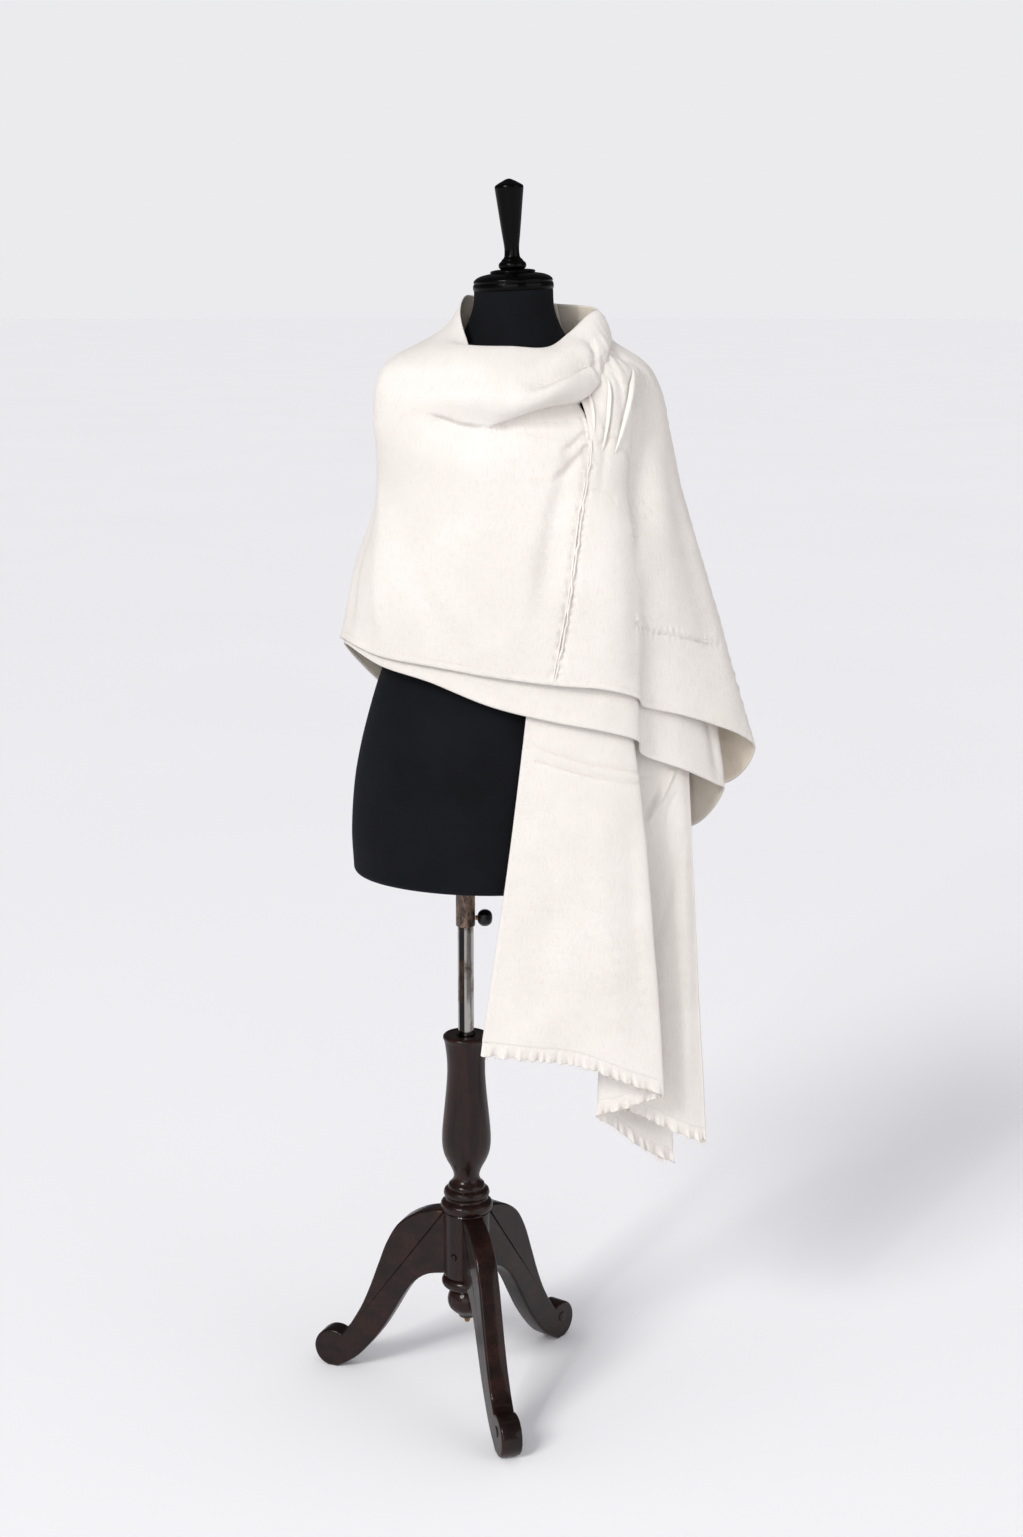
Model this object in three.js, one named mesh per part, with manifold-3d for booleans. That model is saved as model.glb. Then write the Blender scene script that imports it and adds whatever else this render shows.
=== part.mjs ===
// A draped wool shawl on the limbless dress form that carries it.
// Millimetres, +Z up, the wearer's front towards -Y. The shapes are laid out with the
// floor at z = 0 and the stand's pole on the Z axis, and the whole group is moved at the
// end so that its origin is under the middle of its box.
import * as THREE from "three";
import * as BufferGeometryUtils from "three/addons/utils/BufferGeometryUtils.js";
import Module from "manifold-3d";

const wasm = await Module();
wasm.setup();

// ---- driving dimensions -------------------------------------------------------------
const CLOTH = 2;              // thickness of one layer of the wool
const GAP = 0.3;              // air between pieces that touch
const SEAM = 0.005;           // half the opening at a seam, as a share of one column
const FRINGE_DROP = 19;       // height of the frilled band at each end of the shawl
const FRINGE_REACH = 5;       // depth that the frill waves through

const POLE_RADIUS = 10.8;
const POLE_FOOT = 456;        // the pole stands this deep in the pedestal
const POLE_TOP = 930;         // and ends here, inside the form
const SLEEVE_RADIUS = 13;
const SLEEVE_BORE = 11.2;
const SLEEVE_FOOT = 671;
const SLEEVE_TOP = 1052;
const KNOB_HEIGHT = 682;
const KNOB_RADIUS = 11.5;

const DRUM_RADIUS = 32;
const LEG_THICKNESS = 29;
const LEG_ANGLES = [159, 286, 52];    // degrees from +X, seen from above
const FOOT_CENTRE = [203, 27];        // distance from the pole, height
const FOOT_RADIUS = 28;
const PEG_ANGLES = [106, 236, 349];   // the wooden pegs between the legs
const PEG_HEIGHT = 203;

const FORM_FOOT = 742;
const FORM_TOP = 1511;
const FORM_TURN = -17;        // the form faces a little to its own right, in degrees
const FORM_LEAN = 0.084;      // sideways drift of its middle line for each mm of height
const FORM_FOOT_X = 6;        // the middle line at the foot of the form
const NECK_FOOT = 1440;       // above this height the middle line is upright
const CAP_RADIUS = 51.6;
const CAP_LEAN = -2.6;        // the cap and finial tip back, in degrees

// ---- materials ----------------------------------------------------------------------
const finish = (name, color, roughness, metalness = 0) =>
  new THREE.MeshStandardMaterial({ name, color, roughness, metalness });
const WOOL = finish("wool", 0xe9e1d4, 0.9);
const JERSEY = finish("jersey", 0x0c0d11, 0.95);
const LACQUER = finish("lacquer", 0x0a0a0b, 0.2);
const MAHOGANY = finish("mahogany", 0x2b1512, 0.35);
const CHROME = finish("chrome", 0xb9b2a6, 0.2, 1);
const BRONZE = finish("bronze", 0x40302a, 0.45, 0.8);
const RUBBER = finish("knob_plastic", 0x111214, 0.4);
const BRASS = finish("brass", 0x9a7440, 0.35, 1);

const degrees = THREE.MathUtils.degToRad;
const model = new THREE.Group();

function add(name, geometry, material) {
  const mesh = new THREE.Mesh(geometry, material);
  mesh.name = name;
  model.add(mesh);
  return mesh;
}

// ---- solids -------------------------------------------------------------------------
function welded(geometry) {
  const bare = geometry.clone();
  bare.deleteAttribute("normal");
  bare.deleteAttribute("uv");
  return BufferGeometryUtils.mergeVertices(bare, 1e-4);
}

function solid(geometry) {
  const bare = welded(geometry);
  return new wasm.Manifold(new wasm.Mesh({
    numProp: 3,
    vertProperties: new Float32Array(bare.attributes.position.array),
    triVerts: new Uint32Array(bare.index.array),
  }));
}

function geometryOf(manifold) {
  const mesh = manifold.getMesh();
  const geometry = new THREE.BufferGeometry();
  geometry.setAttribute("position", new THREE.BufferAttribute(mesh.vertProperties, 3));
  geometry.setIndex(new THREE.BufferAttribute(mesh.triVerts, 1));
  return geometry;
}

// A turned piece standing on the Z axis; its profile is a list of [radius, height].
function turned(profile, sides = 24) {
  const points = profile.map(([radius, height]) => new THREE.Vector2(radius, height));
  const geometry = new THREE.LatheGeometry(points, sides);
  return welded(geometry.rotateX(Math.PI / 2));
}

function cylinder(radius, low, high, sides = 24) {
  return turned([[0, low], [radius, low], [radius, high], [0, high]], sides);
}

// ---- curves and cloth ---------------------------------------------------------------
function curveThrough(points, closed = false) {
  const list = points.map((point) => new THREE.Vector3(...point));
  return new THREE.CatmullRomCurve3(list, closed, "centripetal");
}

// A surface through a stack of rings, or of open rails. Column k passes through point k
// of each ring, and level 0 is the top ring.
function drape(rings, closed) {
  const curves = rings.map((ring) => curveThrough(ring, closed));
  const columns = closed ? rings[0].length : rings[0].length - 1;
  const within = (value) => THREE.MathUtils.clamp(value, 0, 1);
  return (column, level) => {
    const share = closed
      ? THREE.MathUtils.euclideanModulo(column / columns, 1)
      : within(column / columns);
    const points = curves.map((curve) => curve.getPoint(share).toArray());
    return curveThrough(points).getPoint(within(level / (rings.length - 1)));
  };
}

function normalAt(surface, column, level) {
  const step = 0.01;
  const along = surface(column + step, level).sub(surface(column - step, level));
  const down = surface(column, level + step).sub(surface(column, level - step));
  return down.cross(along).normalize();
}

// The points of a grid on a surface, moved out along its normal.
function gridOn(surface, columns, levels, offset) {
  return columns.map((column) => levels.map((level) => {
    const out = normalAt(surface, column, level).multiplyScalar(offset);
    return surface(column, level).add(out);
  }));
}

// A closed wall between two grids of the same size.
function between(outer, inner) {
  const across = outer.length;
  const down = outer[0].length;
  const vertices = [...outer.flat(), ...inner.flat()].flatMap((point) => point.toArray());
  const at = (side, i, j) => side * across * down + i * down + j;
  const triangles = [];
  const quad = (a, b, c, d) => triangles.push(a, b, c, a, c, d);
  for (let i = 0; i < across - 1; i += 1) {
    for (let j = 0; j < down - 1; j += 1) {
      quad(at(0, i, j), at(0, i, j + 1), at(0, i + 1, j + 1), at(0, i + 1, j));
      quad(at(1, i, j), at(1, i + 1, j), at(1, i + 1, j + 1), at(1, i, j + 1));
    }
    quad(at(0, i, 0), at(0, i + 1, 0), at(1, i + 1, 0), at(1, i, 0));
    quad(at(0, i, down - 1), at(1, i, down - 1), at(1, i + 1, down - 1), at(0, i + 1, down - 1));
  }
  for (let j = 0; j < down - 1; j += 1) {
    quad(at(0, 0, j), at(1, 0, j), at(1, 0, j + 1), at(0, 0, j + 1));
    quad(at(0, across - 1, j), at(0, across - 1, j + 1), at(1, across - 1, j + 1),
      at(1, across - 1, j));
  }
  const geometry = new THREE.BufferGeometry();
  geometry.setAttribute("position", new THREE.Float32BufferAttribute(vertices, 3));
  geometry.setIndex(volumeOf(vertices, triangles) < 0 ? triangles.reverse() : triangles);
  return geometry;
}

function volumeOf(vertices, triangles) {
  const corner = (index) => new THREE.Vector3().fromArray(vertices, 3 * index);
  let sum = 0;
  for (let t = 0; t < triangles.length; t += 3) {
    const [a, b, c] = [corner(triangles[t]), corner(triangles[t + 1]), corner(triangles[t + 2])];
    sum += a.dot(b.cross(c));
  }
  return sum;
}

function steps(from, to, count) {
  return Array.from({ length: count + 1 }, (_, i) => from + ((to - from) * i) / count);
}

// A layer of cloth on part of a surface.
function clothOn(surface, columns, levels, thickness = CLOTH, offset = 0) {
  return between(
    gridOn(surface, columns, levels, offset + thickness / 2),
    gridOn(surface, columns, levels, offset - thickness / 2),
  );
}

// ---- the outer wrap -----------------------------------------------------------------
// Sixteen columns run round the wrap from the wearer's right side (column 0) across the
// front to the seam (4), the hanging fold (6, 7), the tip at the left arm (10) and back.
const WRAP_TOP = [
  [-98, -2, 1406], [-104, -62, 1343], [-50, -119, 1353], [33, -145, 1342],
  [166, -105, 1393], [174, -90, 1412], [178, -72, 1426], [182, -52, 1434],
  [186, -32, 1439], [188, -12, 1443], [188, 10, 1443], [176, 42, 1441],
  [140, 72, 1438], [85, 86, 1437], [30, 80, 1437], [-18, 50, 1437],
];
const WRAP_SHOULDER = [
  [-107, 0, 1372], [-107, -70, 1312], [-54, -124, 1312], [32, -150, 1305],
  [159, -131, 1330], [188, -110, 1378], [209, -91, 1393], [223, -69, 1401],
  [233, -43, 1406], [240, -20, 1408], [242, 8, 1408], [225, 56, 1406],
  [178, 92, 1405], [98, 112, 1404], [10, 106, 1404], [-66, 64, 1404],
];
const WRAP_CHEST = [
  [-112, 8, 1250], [-104, -78, 1240], [-52, -124, 1236], [30, -149, 1230],
  [146, -149, 1233], [186, -141, 1240], [212, -127, 1246], [224, -112, 1250],
  [256, -80, 1250], [281, -36, 1250], [286, 10, 1250], [268, 66, 1242],
  [200, 114, 1236], [100, 140, 1234], [0, 130, 1240], [-82, 82, 1246],
];
const WRAP_HEM = [
  [-164, 22, 1061], [-108, -76, 1052], [-41, -121, 1046], [35, -146, 1036],
  [114, -153, 1027], [180, -147, 1020], [222, -127, 1006], [232, -100, 990],
  [288, -69, 972], [364, -18, 937], [386, 8, 915], [356, 75, 853],
  [250, 140, 842], [110, 168, 875], [-20, 154, 945], [-122, 104, 1020],
];
const SEAM_COLUMN = 4;
const BACK_COLUMN = 12;
const FRONT_EDGE_COLUMN = 1;
const WRAP_COLUMNS = WRAP_HEM.length;

const WRAP_BULGE = 5;         // how far the wrap swells out half way to its hem
const WRAP_LEVELS = 4;

// A ring half way between two others, moved out from the middle of the form.
function midRing(upper, lower, swell = 0) {
  return upper.map(([x, y, z], k) => {
    const middle = new THREE.Vector3(x, y, z).add(new THREE.Vector3(...lower[k])).divideScalar(2);
    const out = new THREE.Vector3(middle.x - formMiddle(middle.z), middle.y, 0).normalize();
    return middle.addScaledVector(out, swell).toArray();
  });
}

const wrap = drape([
  WRAP_TOP, WRAP_SHOULDER, WRAP_CHEST, midRing(WRAP_CHEST, WRAP_HEM, WRAP_BULGE), WRAP_HEM,
], true);

// The shoulder panel's top edge runs on a little way under the cowl.
const TUCKED_TOP = [
  ...WRAP_TOP.slice(0, 4),
  [126, -93, 1397], [143, -78, 1411], [153, -60, 1424], [159, -40, 1431], [163, -22, 1434],
  [166, -6, 1436], ...WRAP_TOP.slice(10),
];
const TUCK_FROM = 4.25;
const TUCK_TO = 8.75;
const TUCK_OVERLAP = 0.04;

function shoulderTuck() {
  const surface = drape([TUCKED_TOP, WRAP_TOP, WRAP_SHOULDER], true);
  return clothOn(surface, steps(TUCK_FROM, TUCK_TO, 14), steps(0, 1 + TUCK_OVERLAP, 3));
}

function wrapPanel(from, to, perColumn) {
  const columns = steps(from + SEAM, to - SEAM, Math.round((to - from) * perColumn));
  return clothOn(wrap, columns, steps(0, WRAP_LEVELS, 10));
}

function addOuterWrap() {
  add("front_panel", wrapPanel(FRONT_EDGE_COLUMN, SEAM_COLUMN, 3), WOOL);
  const shoulder = solid(wrapPanel(SEAM_COLUMN, BACK_COLUMN, 3)).add(solid(shoulderTuck()));
  add("shoulder_panel", geometryOf(shoulder), WOOL);
  add("back_panel", wrapPanel(BACK_COLUMN, WRAP_COLUMNS + FRONT_EDGE_COLUMN, 3), WOOL);
}

// ---- the under layer ----------------------------------------------------------------
// The same columns, one layer further in, with a hem that shows below the outer one.
const UNDER_TOP = [
  [-118, 12, 1180], [-98, -72, 1175], [-48, -114, 1172], [32, -139, 1168],
  [138, -140, 1168], [186, -132, 1172], [210, -116, 1176], [219, -101, 1178],
  [250, -70, 1180], [280, -34, 1180], [292, 8, 1180], [272, 62, 1175],
  [208, 108, 1170], [104, 136, 1168], [-2, 125, 1170], [-84, 78, 1175],
];
const UNDER_HEM = [
  [-159, 18, 1054], [-106, -69, 1038], [-41, -113, 1024], [35, -137, 997],
  [110, -143, 979], [182, -136, 964], [224, -116, 948], [230, -89, 926],
  [288, -60, 899], [332, -25, 873], [345, -3, 861], [308, 60, 796],
  [228, 124, 790], [100, 152, 826], [-20, 138, 905], [-117, 92, 990],
];
const under = drape([UNDER_TOP, midRing(UNDER_TOP, UNDER_HEM), UNDER_HEM], true);

function addUnderLayer() {
  const front = steps(SEAM, BACK_COLUMN - SEAM, BACK_COLUMN * 3);
  const back = steps(BACK_COLUMN + SEAM, WRAP_COLUMNS - SEAM, (WRAP_COLUMNS - BACK_COLUMN) * 3);
  add("under_front", clothOn(under, front, steps(0, 2, 4)), WOOL);
  add("under_back", clothOn(under, back, steps(0, 2, 4)), WOOL);
}

// ---- the cowl and the collar --------------------------------------------------------
// Rails run from the wearer's right shoulder across the front to the left shoulder.
const COWL_LIP = [
  [-32, 12, 1438], [-27, -52, 1439], [20, -84, 1425], [61, -92, 1420],
  [104, -87, 1421], [130, -68, 1436], [160, -28, 1462], [172, -8, 1452],
];
const COWL_CREST = [
  [-39, 14, 1445], [-36, -56, 1446], [17, -95, 1444], [61, -104, 1443],
  [107, -98, 1442], [134, -78, 1460], [170, -30, 1486], [181, -8, 1472],
];
const COWL_BULGE = [
  [-103, 12, 1412], [-94, -74, 1404], [-14, -146, 1394], [55, -164, 1388],
  [116, -157, 1400], [160, -118, 1424], [183, -58, 1452], [187, -18, 1456],
];
const COWL_FOOT = [
  [-112, -6, 1377], [-108, -74, 1348], [-50, -124, 1356], [33, -148, 1345],
  [92, -146, 1362], [150, -121, 1388], [171, -95, 1420], [178, -60, 1438],
];
const cowl = drape([COWL_LIP, COWL_CREST, COWL_BULGE, COWL_FOOT], false);

const COLLAR_TOP = [
  [176, 0, 1482], [166, 26, 1489], [122, 62, 1493], [65, 76, 1497],
  [20, 54, 1502], [6, 18, 1503], [6, -12, 1487], [17, -46, 1466], [25, -62, 1446],
];
const COLLAR_FOOT = [
  [183, 8, 1446], [174, 42, 1444], [139, 73, 1442], [85, 87, 1441],
  [31, 81, 1441], [-16, 51, 1441], [-27, 4, 1446], [-4, -44, 1440], [14, -62, 1440],
];
// The cloth turned up against the neck at the wearer's right, in front of the collar.
const FOLD_EDGE = [[-5, -4, 1481], [2, -37, 1464], [11, -66, 1448]];
const FOLD_MIDDLE = [[-19, 8, 1467], [-16, -34, 1456], [-4, -67, 1443]];
const FOLD_FOOT = [[-33, 12, 1450], [-27, -31, 1448], [-14, -64, 1438]];
const collarFold = drape([FOLD_EDGE, FOLD_MIDDLE, FOLD_FOOT], false);

const collarMiddle = COLLAR_TOP.map((top, k) => [
  0.62 * top[0] + 0.38 * COLLAR_FOOT[k][0],
  0.62 * top[1] + 0.38 * COLLAR_FOOT[k][1],
  0.5 * (top[2] + COLLAR_FOOT[k][2]),
]);
const collar = drape([COLLAR_TOP, collarMiddle, COLLAR_FOOT], false);

function addCowlAndCollar() {
  add("cowl", clothOn(cowl, steps(0, 7, 28), steps(0, 3, 9)), WOOL);
  add("collar_back", clothOn(collar, steps(0, 8, 24), steps(0, 2, 4)), WOOL);
  add("collar_fold", clothOn(collarFold, steps(0, 2, 6), steps(0, 2, 4)), WOOL);
}

// ---- the hanging ends ---------------------------------------------------------------
// The front end is folded in three like a Z. Rails run along the fold's plan.
const TAIL_A_TOP = [
  [94, -129, 1090], [128, -130, 1090], [158, -127, 1090], [184, -119, 1090],
  [199, -107, 1090], [196, -95, 1090], [192, -84, 1088], [190, -72, 1086],
  [206, -60, 1084], [222, -42, 1080], [240, -16, 1076],
];
const TAIL_A_MIDDLE = [
  [60, -134, 800], [110, -134, 797], [158, -131, 794], [206, -123, 788],
  [238, -109, 782], [228, -96, 779], [206, -84, 776], [190, -70, 772],
  [202, -54, 766], [232, -32, 756], [264, -4, 746],
];
const TAIL_A_END = [
  [22, -128, 531], [80, -127, 524], [150, -123, 514], [218, -114, 486],
  [265, -100, 464], [245, -90, 456], [208, -79, 438], [177, -65, 424],
  [198, -48, 404], [240, -24, 363], [286, 6, 330],
];
// The back end is a single width that hangs between the folds.
const TAIL_B_TOP = [
  [222, -72, 1020], [240, -62, 1019], [258, -53, 1018], [276, -43, 1016], [288, -31, 1014],
];
const TAIL_B_MIDDLE = [
  [216, -66, 760], [242, -60, 756], [268, -54, 752], [291, -48, 748], [303, -38, 745],
];
const TAIL_B_END = [
  [208, -60, 434], [240, -57, 420], [276, -51, 400], [306, -46, 385], [326, -38, 377],
];
const tailA = drape([TAIL_A_TOP, TAIL_A_MIDDLE, TAIL_A_END], false);
const tailB = drape([TAIL_B_TOP, TAIL_B_MIDDLE, TAIL_B_END], false);

// The level at which the frilled band begins, measured up each column from its end.
function bandLevel(surface, column) {
  const end = surface(column, 2);
  const above = surface(column, 1.9);
  return 2 - (0.1 * FRINGE_DROP) / end.distanceTo(above);
}

function addTail(name, tail, last, perColumn) {
  const columns = steps(0, last, last * perColumn);
  const banded = (column, share) => tail(column, share * bandLevel(tail, column));
  add(name, clothOn(banded, columns, steps(0, 1, 6)), WOOL);
  const frill = (column, share) => {
    const start = bandLevel(tail, column) + 0.003;
    return tail(column, start + (2 - start) * share);
  };
  add(`${name}_fringe`, clothOn(frill, columns, [0, 1], FRINGE_REACH), WOOL);
}

// ---- pieces that lie on the shoulder panel ------------------------------------------
// Each pin tuck is a narrow raised pleat, given by its two ends as [column, level].
const PIN_TUCKS = [
  { name: "pin_tuck_1", from: [4.25, 0.1], to: [4.1, 0.95], width: 5 },
  { name: "pin_tuck_2", from: [5.1, 0.75], to: [4.55, 1.2], width: 6 },
  { name: "pin_tuck_3", from: [7.2, 0.85], to: [5.2, 1.45], width: 8 },
];
const TUCK_HEIGHT = 2.4;

// A ridge on a surface: a strip with a peaked back that tapers away at both ends.
function ridgeOn(surface, from, to, width, height, count = 10) {
  const outer = [];
  const inner = [];
  for (const share of steps(0, 1, count)) {
    const column = THREE.MathUtils.lerp(from[0], to[0], share);
    const level = THREE.MathUtils.lerp(from[1], to[1], share);
    const swell = 0.25 + 0.75 * Math.sin(Math.PI * share);
    const base = surface(column, level);
    const next = surface(
      column + (to[0] - from[0]) * 0.01,
      level + (to[1] - from[1]) * 0.01,
    );
    const normal = normalAt(surface, column, level);
    const side = next.sub(base).normalize().cross(normal).normalize();
    const place = (sideways, out) => base.clone()
      .addScaledVector(side, sideways * width * swell)
      .addScaledVector(normal, out);
    const seat = CLOTH / 2 + GAP + 0.5;
    outer.push([place(-0.5, seat + 0.6), place(0, seat + height * swell), place(0.5, seat + 0.6)]);
    inner.push([place(-0.5, seat), place(0, seat), place(0.5, seat)]);
  }
  return between(outer, inner);
}

function addShoulderTrim() {
  for (const tuck of PIN_TUCKS) {
    add(tuck.name, ridgeOn(wrap, tuck.from, tuck.to, tuck.width, TUCK_HEIGHT), WOOL);
  }
  const from = [SEAM_COLUMN, 1.05];
  const to = [SEAM_COLUMN, 3.97];
  add("seam_strip", ridgeOn(wrap, from, to, 5, 1.2, 14), WOOL);
}

// ---- the dress form -----------------------------------------------------------------
// Half width and half depth of the form by height.
const FORM_SECTIONS = [
  [FORM_FOOT, 152, 108], [754, 161, 118], [800, 167, 123], [868, 168, 124], [912, 164, 121],
  [960, 156, 114], [1010, 145, 105], [1060, 130, 96], [1110, 120, 92], [1170, 126, 98],
  [1225, 138, 112], [1280, 144, 121], [1330, 145, 117], [1365, 142, 104], [1388, 136, 90],
  [1408, 122, 78], [1425, 102, 69], [1440, 84, 61], [1455, 68, 56], [1472, 58, 53],
  [1490, 52, 51], [FORM_TOP, 50.5, 50],
];
const FORM_SIDES = 32;

function formMiddle(height) {
  return FORM_FOOT_X + FORM_LEAN * (Math.min(height, NECK_FOOT) - FORM_FOOT);
}

function formGeometry() {
  const vertices = [];
  const turn = degrees(FORM_TURN);
  for (const [height, wide, deep] of FORM_SECTIONS) {
    for (let k = 0; k < FORM_SIDES; k += 1) {
      const angle = (2 * Math.PI * k) / FORM_SIDES;
      const x = wide * Math.cos(angle);
      const y = deep * Math.sin(angle);
      vertices.push(
        formMiddle(height) + x * Math.cos(turn) - y * Math.sin(turn),
        x * Math.sin(turn) + y * Math.cos(turn),
        height,
      );
    }
  }
  const last = FORM_SECTIONS.length - 1;
  vertices.push(formMiddle(FORM_FOOT), 0, FORM_FOOT, formMiddle(FORM_TOP), 0, FORM_TOP);
  const foot = (last + 1) * FORM_SIDES;
  const triangles = [];
  for (let k = 0; k < FORM_SIDES; k += 1) {
    const next = (k + 1) % FORM_SIDES;
    for (let level = 0; level < last; level += 1) {
      const low = level * FORM_SIDES;
      const high = low + FORM_SIDES;
      triangles.push(low + k, low + next, high + next, low + k, high + next, high + k);
    }
    triangles.push(foot, next, k);
    triangles.push(foot + 1, last * FORM_SIDES + k, last * FORM_SIDES + next);
  }
  const geometry = new THREE.BufferGeometry();
  geometry.setAttribute("position", new THREE.Float32BufferAttribute(vertices, 3));
  geometry.setIndex(triangles);
  return geometry;
}

function addForm() {
  const bore = solid(cylinder(SLEEVE_RADIUS + GAP, FORM_FOOT - 20, SLEEVE_TOP + 2));
  add("dress_form", geometryOf(solid(formGeometry()).subtract(bore)), JERSEY);
  const onTop = (mesh) => {
    mesh.position.set(formMiddle(FORM_TOP), 0, FORM_TOP + GAP);
    mesh.rotation.y = degrees(CAP_LEAN);
  };
  // Cap and finial, as [radius, height above the form].
  onTop(add("neck_cap", turned([
    [0, 2.5], [CAP_RADIUS - 4, 2.5], [CAP_RADIUS - 1, 4.5], [CAP_RADIUS, 8], [CAP_RADIUS - 0.5, 12],
    [CAP_RADIUS - 4, 15.5], [CAP_RADIUS - 10, 18.5], [33, 21], [27, 22], [25, 24.5],
    [20, 26.5], [13, 27.5], [0, 27.5],
  ]), LACQUER));
  onTop(add("finial", turned([
    [0, 27.8], [12, 27.8], [16, 30], [17, 33], [15, 36], [10, 38.5], [8.6, 42], [9.2, 48],
    [11, 62], [13.4, 82], [15.8, 102], [18, 120], [19, 127], [19, 131], [16, 134.5],
    [9, 137.5], [0, 138.6],
  ]), LACQUER));
}

// ---- pole, sleeve and clamp ---------------------------------------------------------
function addPole() {
  add("pole", cylinder(POLE_RADIUS, POLE_FOOT, POLE_TOP), CHROME);
  const tube = turned([
    [SLEEVE_BORE, SLEEVE_FOOT], [SLEEVE_RADIUS, SLEEVE_FOOT], [SLEEVE_RADIUS, SLEEVE_TOP],
    [SLEEVE_BORE, SLEEVE_TOP], [SLEEVE_BORE, SLEEVE_FOOT],
  ]);
  add("sleeve", tube, BRONZE);
  const reach = SLEEVE_RADIUS + GAP;
  const knob = turned([
    [0, reach], [3.2, reach], [3.2, reach + 3], [5, reach + 3.6], [8, reach + 5],
    [10.8, reach + 8], [KNOB_RADIUS, reach + 12], [10.8, reach + 17], [8.5, reach + 20.5],
    [5, reach + 22.6], [0, reach + 23],
  ], 20);
  knob.rotateY(Math.PI / 2);
  add("clamp_knob", knob, RUBBER).position.set(0, 0, KNOB_HEIGHT);
}

// ---- pedestal and legs --------------------------------------------------------------
function addPedestal() {
  const pedestal = solid(turned([
    [0, 264], [DRUM_RADIUS, 264], [35, 268], [36, 275], [33, 281], [29, 283], [30, 287],
    [31.5, 291], [30, 296], [25, 299], [24, 303], [20, 308], [17.5, 314], [19, 322],
    [25, 333], [31, 345], [33.5, 360], [33.4, 378], [31.5, 400], [29, 425], [26.4, 450],
    [26, 472], [27, 488], [28.8, 504], [30.2, 510.5], [31.3, 513.5], [31, 516.5], [29.5, 518],
    [0, 518],
  ], 28));
  const socket = solid(cylinder(POLE_RADIUS + GAP, POLE_FOOT - 2, 530));
  add("pedestal", geometryOf(pedestal.subtract(socket)), MAHOGANY);
  add("drum", turned([
    [0, 168.5], [30, 168.5], [DRUM_RADIUS, 170], [DRUM_RADIUS, 263.7], [0, 263.7],
  ], 28), MAHOGANY);
  add("pendant", turned([
    [0, 104], [8, 104], [12, 107], [14, 111], [19, 115], [25, 122], [27, 131], [26, 140],
    [22, 147], [21, 149.5], [27, 151], [33, 154], [35, 160], [33, 166], [29, 168.2], [0, 168.2],
  ], 28), MAHOGANY);
  add("pendant_tip", turned([
    [0, 96], [2.6, 96.6], [4, 99], [4, 103.7], [0, 103.7],
  ], 16), BRASS);
  PEG_ANGLES.forEach((angle, index) => {
    const start = DRUM_RADIUS + GAP;
    const peg = turned([
      [0, start], [5, start], [4.6, start + 1.4], [3, start + 2.6], [0, start + 3],
    ], 14);
    const mesh = add(`peg_${index + 1}`, peg.rotateY(Math.PI / 2), MAHOGANY);
    mesh.position.z = PEG_HEIGHT;
    mesh.rotation.z = degrees(angle);
  });
}

// The side view of a leg: distance from the pole along x, height along y.
function legShape() {
  const [footX, footY] = FOOT_CENTRE;
  const top = [[20, 262], [46, 261], [72, 252], [98, 233], [116, 204], [130, 168],
    [144, 130], [158, 98], [174, 70]];
  const low = [[189, 4], [168, 18], [147, 40], [126, 68], [108, 98], [92, 126],
    [76, 148], [56, 163], [20, 170]];
  const notch = Math.atan2(62 - footY, 182 - footX);
  const flat = Math.asin(footY / FOOT_RADIUS);
  const shape = new THREE.Shape();
  shape.moveTo(...top[0]);
  shape.splineThru(top.slice(1).map((point) => new THREE.Vector2(...point)));
  shape.absarc(footX, footY, FOOT_RADIUS, notch, -flat, true);
  shape.lineTo(footX - FOOT_RADIUS * Math.cos(flat), 0);
  shape.splineThru(low.map((point) => new THREE.Vector2(...point)));
  return shape;
}

function addLegs() {
  const blade = new THREE.ExtrudeGeometry(legShape(), {
    depth: LEG_THICKNESS, curveSegments: 5, bevelEnabled: false,
  });
  blade.translate(0, 0, -LEG_THICKNESS / 2);
  blade.rotateX(Math.PI / 2);
  const hub = solid(cylinder(DRUM_RADIUS + GAP, 100, 300, 32));
  const leg = geometryOf(solid(blade).subtract(hub));
  LEG_ANGLES.forEach((angle, index) => {
    add(`leg_${index + 1}`, leg.clone().rotateZ(degrees(angle)), MAHOGANY);
  });
}

addOuterWrap();
addUnderLayer();
addCowlAndCollar();
addTail("tail_a", tailA, 10, 3);
addTail("tail_b", tailB, 4, 3);
addShoulderTrim();
addForm();
addPole();
addPedestal();
addLegs();

const box = new THREE.Box3().setFromObject(model);
const middle = box.getCenter(new THREE.Vector3());
model.position.set(-middle.x, -middle.y, -box.min.z);

export default model;
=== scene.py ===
import math

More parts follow.
